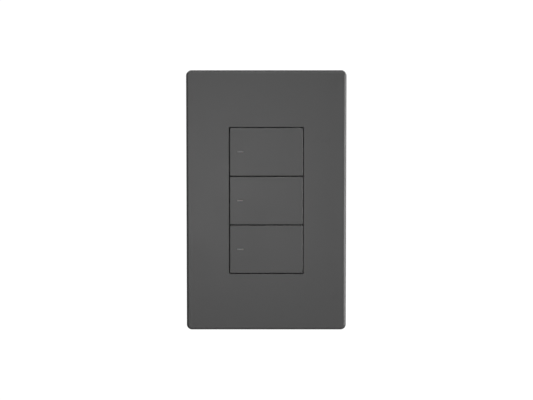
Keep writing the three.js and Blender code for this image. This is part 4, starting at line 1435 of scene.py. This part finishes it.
def floor_material():
    """Grey that fades to glowing white far out. Rays other than the camera's see it darker."""
    t = Shader("floor")
    path = t.add("ShaderNodeLightPath")
    seen = path.outputs["Is Camera Ray"]
    cloud = t.noise(size_mm=9.0, detail=4.0)
    pale = t.mix(cloud, (0.80, 0.80, 0.80), (0.84, 0.84, 0.835))
    t.set(
        Base_Color=t.mix(seen, (0.22, 0.22, 0.22), pale),
        Roughness=0.9,
        Normal=t.bump(t.noise(size_mm=3.0), depth_mm=0.05, strength=0.2),
    )
    white = t.add("ShaderNodeEmission")
    white.inputs["Color"].default_value = (1, 1, 1, 1)
    glow = t.remap(seen, over=(0.0, 1.0), to=(0.10, WHITE_GLOW))
    t.link(glow, white.inputs["Strength"])
    away = t.add("ShaderNodeVectorMath", operation="LENGTH")
    t.link(t.mm, away.inputs[0])
    far = t.remap(away.outputs["Value"], over=(110.0, 420.0), smooth=True)
    both = t.add("ShaderNodeMixShader")
    t.link(far, both.inputs["Fac"])
    t.link(t.bsdf.outputs["BSDF"], both.inputs[1])
    t.link(white.outputs["Emission"], both.inputs[2])
    t.link(both.outputs["Shader"], t.out.inputs["Surface"])
    return t.material


def build_floor():
    """A pale disc below the part. Close to the part it takes soft shadows; further out it turns
    into the same plain white as the backdrop, so it has no visible rim."""
    verts, faces = [(0, 0, 0)], []
    for radius in FLOOR_RADII:
        verts += [(x, y, 0) for x, y in circle(radius, steps=FLOOR_STEPS)]
    for i in range(FLOOR_STEPS):
        j = (i + 1) % FLOOR_STEPS
        faces.append((0, 1 + i, 1 + j))
        for k in range(len(FLOOR_RADII) - 1):
            a, b = 1 + k * FLOOR_STEPS + i, 1 + k * FLOOR_STEPS + j
            faces.append((a, a + FLOOR_STEPS, b + FLOOR_STEPS, b))
    mesh = bpy.data.meshes.new("floor")
    mesh.from_pydata(verts, [], faces)
    floor = linked(mesh, "floor")
    floor.location = (0, 0, FLOOR_Z)
    mesh.materials.append(floor_material())


def facing(at, target):
    """The rotation that points a light or camera at a target."""
    return (Vector(target) - Vector(at)).to_track_quat("-Z", "Y").to_euler()


def lamp(name, at, aim, width, power, height=None):
    """An area light, square unless it has a height."""
    data = bpy.data.lights.new(name, "AREA")
    data.energy = power
    data.shape = "RECTANGLE" if height else "SQUARE"
    data.size = width
    if height:
        data.size_y = height
    ob = linked(data, name)
    ob.location = at
    ob.rotation_euler = facing(at, aim)
    ob.visible_camera = False


def build_lights():
    lamp("key", at=(-0.12, -1.00, 0.42), aim=(0, 0, 0), width=0.40, power=0.45)
    lamp("low", at=(-0.10, -0.95, -0.22), aim=(0, 0, 0), width=0.50, power=0.96)
    lamp("front", at=(-0.045, -0.40, 0.0), aim=(0, 0, 0), width=0.14, power=0.069)
    lamp(
        "panel_right", at=(0.57, -0.34, -0.09), aim=(0.03, 0, -0.03),
        width=0.46, height=0.38, power=2.95,
    )  # fmt: skip
    lamp(
        "panel_edge", at=(0.72, 0.0, 0.0), aim=(0.03, 0, 0), width=0.20, height=0.55, power=2.2
    )
    lamp(
        "strip_top", at=(0.0, -0.54, 0.57), aim=(0, 0, 0.05), width=0.46, height=0.08, power=2.1
    )
    lamp("back_left", at=(-0.6, 0.75, 0.75), aim=(0, 0.02, 0), width=0.8, power=6.5)
    lamp("back_right", at=(0.7, 0.70, 0.50), aim=(0, 0.02, 0), width=0.7, power=7.0)


def build_world():
    """White to the camera. To everything else, a dim studio that is a little lighter behind."""
    world = bpy.data.worlds.new("studio")
    world.use_nodes = True
    scene.world = world
    nodes, links = world.node_tree.nodes, world.node_tree.links
    nodes.clear()
    out = nodes.new("ShaderNodeOutputWorld")
    mix = nodes.new("ShaderNodeMixShader")
    path = nodes.new("ShaderNodeLightPath")
    dim = nodes.new("ShaderNodeBackground")
    dim.name = "dim"
    white = nodes.new("ShaderNodeBackground")
    coords = nodes.new("ShaderNodeTexCoord")
    split = nodes.new("ShaderNodeSeparateXYZ")
    depth = nodes.new("ShaderNodeMapRange")
    for key, value in (
        ("From Min", -0.3),
        ("From Max", 0.5),
        ("To Min", WORLD_FRONT),
        ("To Max", WORLD_BACK),
    ):
        depth.inputs[key].default_value = value
    dim.inputs["Color"].default_value = (1, 1, 1, 1)
    white.inputs["Color"].default_value = (1, 1, 1, 1)
    white.inputs["Strength"].default_value = WHITE_GLOW
    links.new(coords.outputs["Generated"], split.inputs[0])
    links.new(split.outputs["Y"], depth.inputs["Value"])
    links.new(depth.outputs["Result"], dim.inputs["Strength"])
    links.new(path.outputs["Is Camera Ray"], mix.inputs["Fac"])
    links.new(dim.outputs[0], mix.inputs[1])
    links.new(white.outputs[0], mix.inputs[2])
    links.new(mix.outputs[0], out.inputs["Surface"])


def build_camera():
    """A long lens straight in front of the cover, slightly above it."""
    data = bpy.data.cameras.new("camera")
    data.lens = 85
    data.sensor_width = 36
    data.clip_start, data.clip_end = 0.01, 20
    camera = linked(data, "camera")
    back_off = Vector((0, -math.cos(CAM_ELEVATION), math.sin(CAM_ELEVATION)))
    camera.location = CAM_AIM + back_off * CAM_DISTANCE
    camera.rotation_euler = facing(camera.location, CAM_AIM)
    scene.camera = camera


build_floor()
build_lights()
build_world()
scene.view_settings.view_transform = "Standard"
scene.view_settings.look = "None"
scene.view_settings.exposure = 0.0
scene.view_settings.gamma = 1.0
build_camera()

bpy.context.view_layer.update()
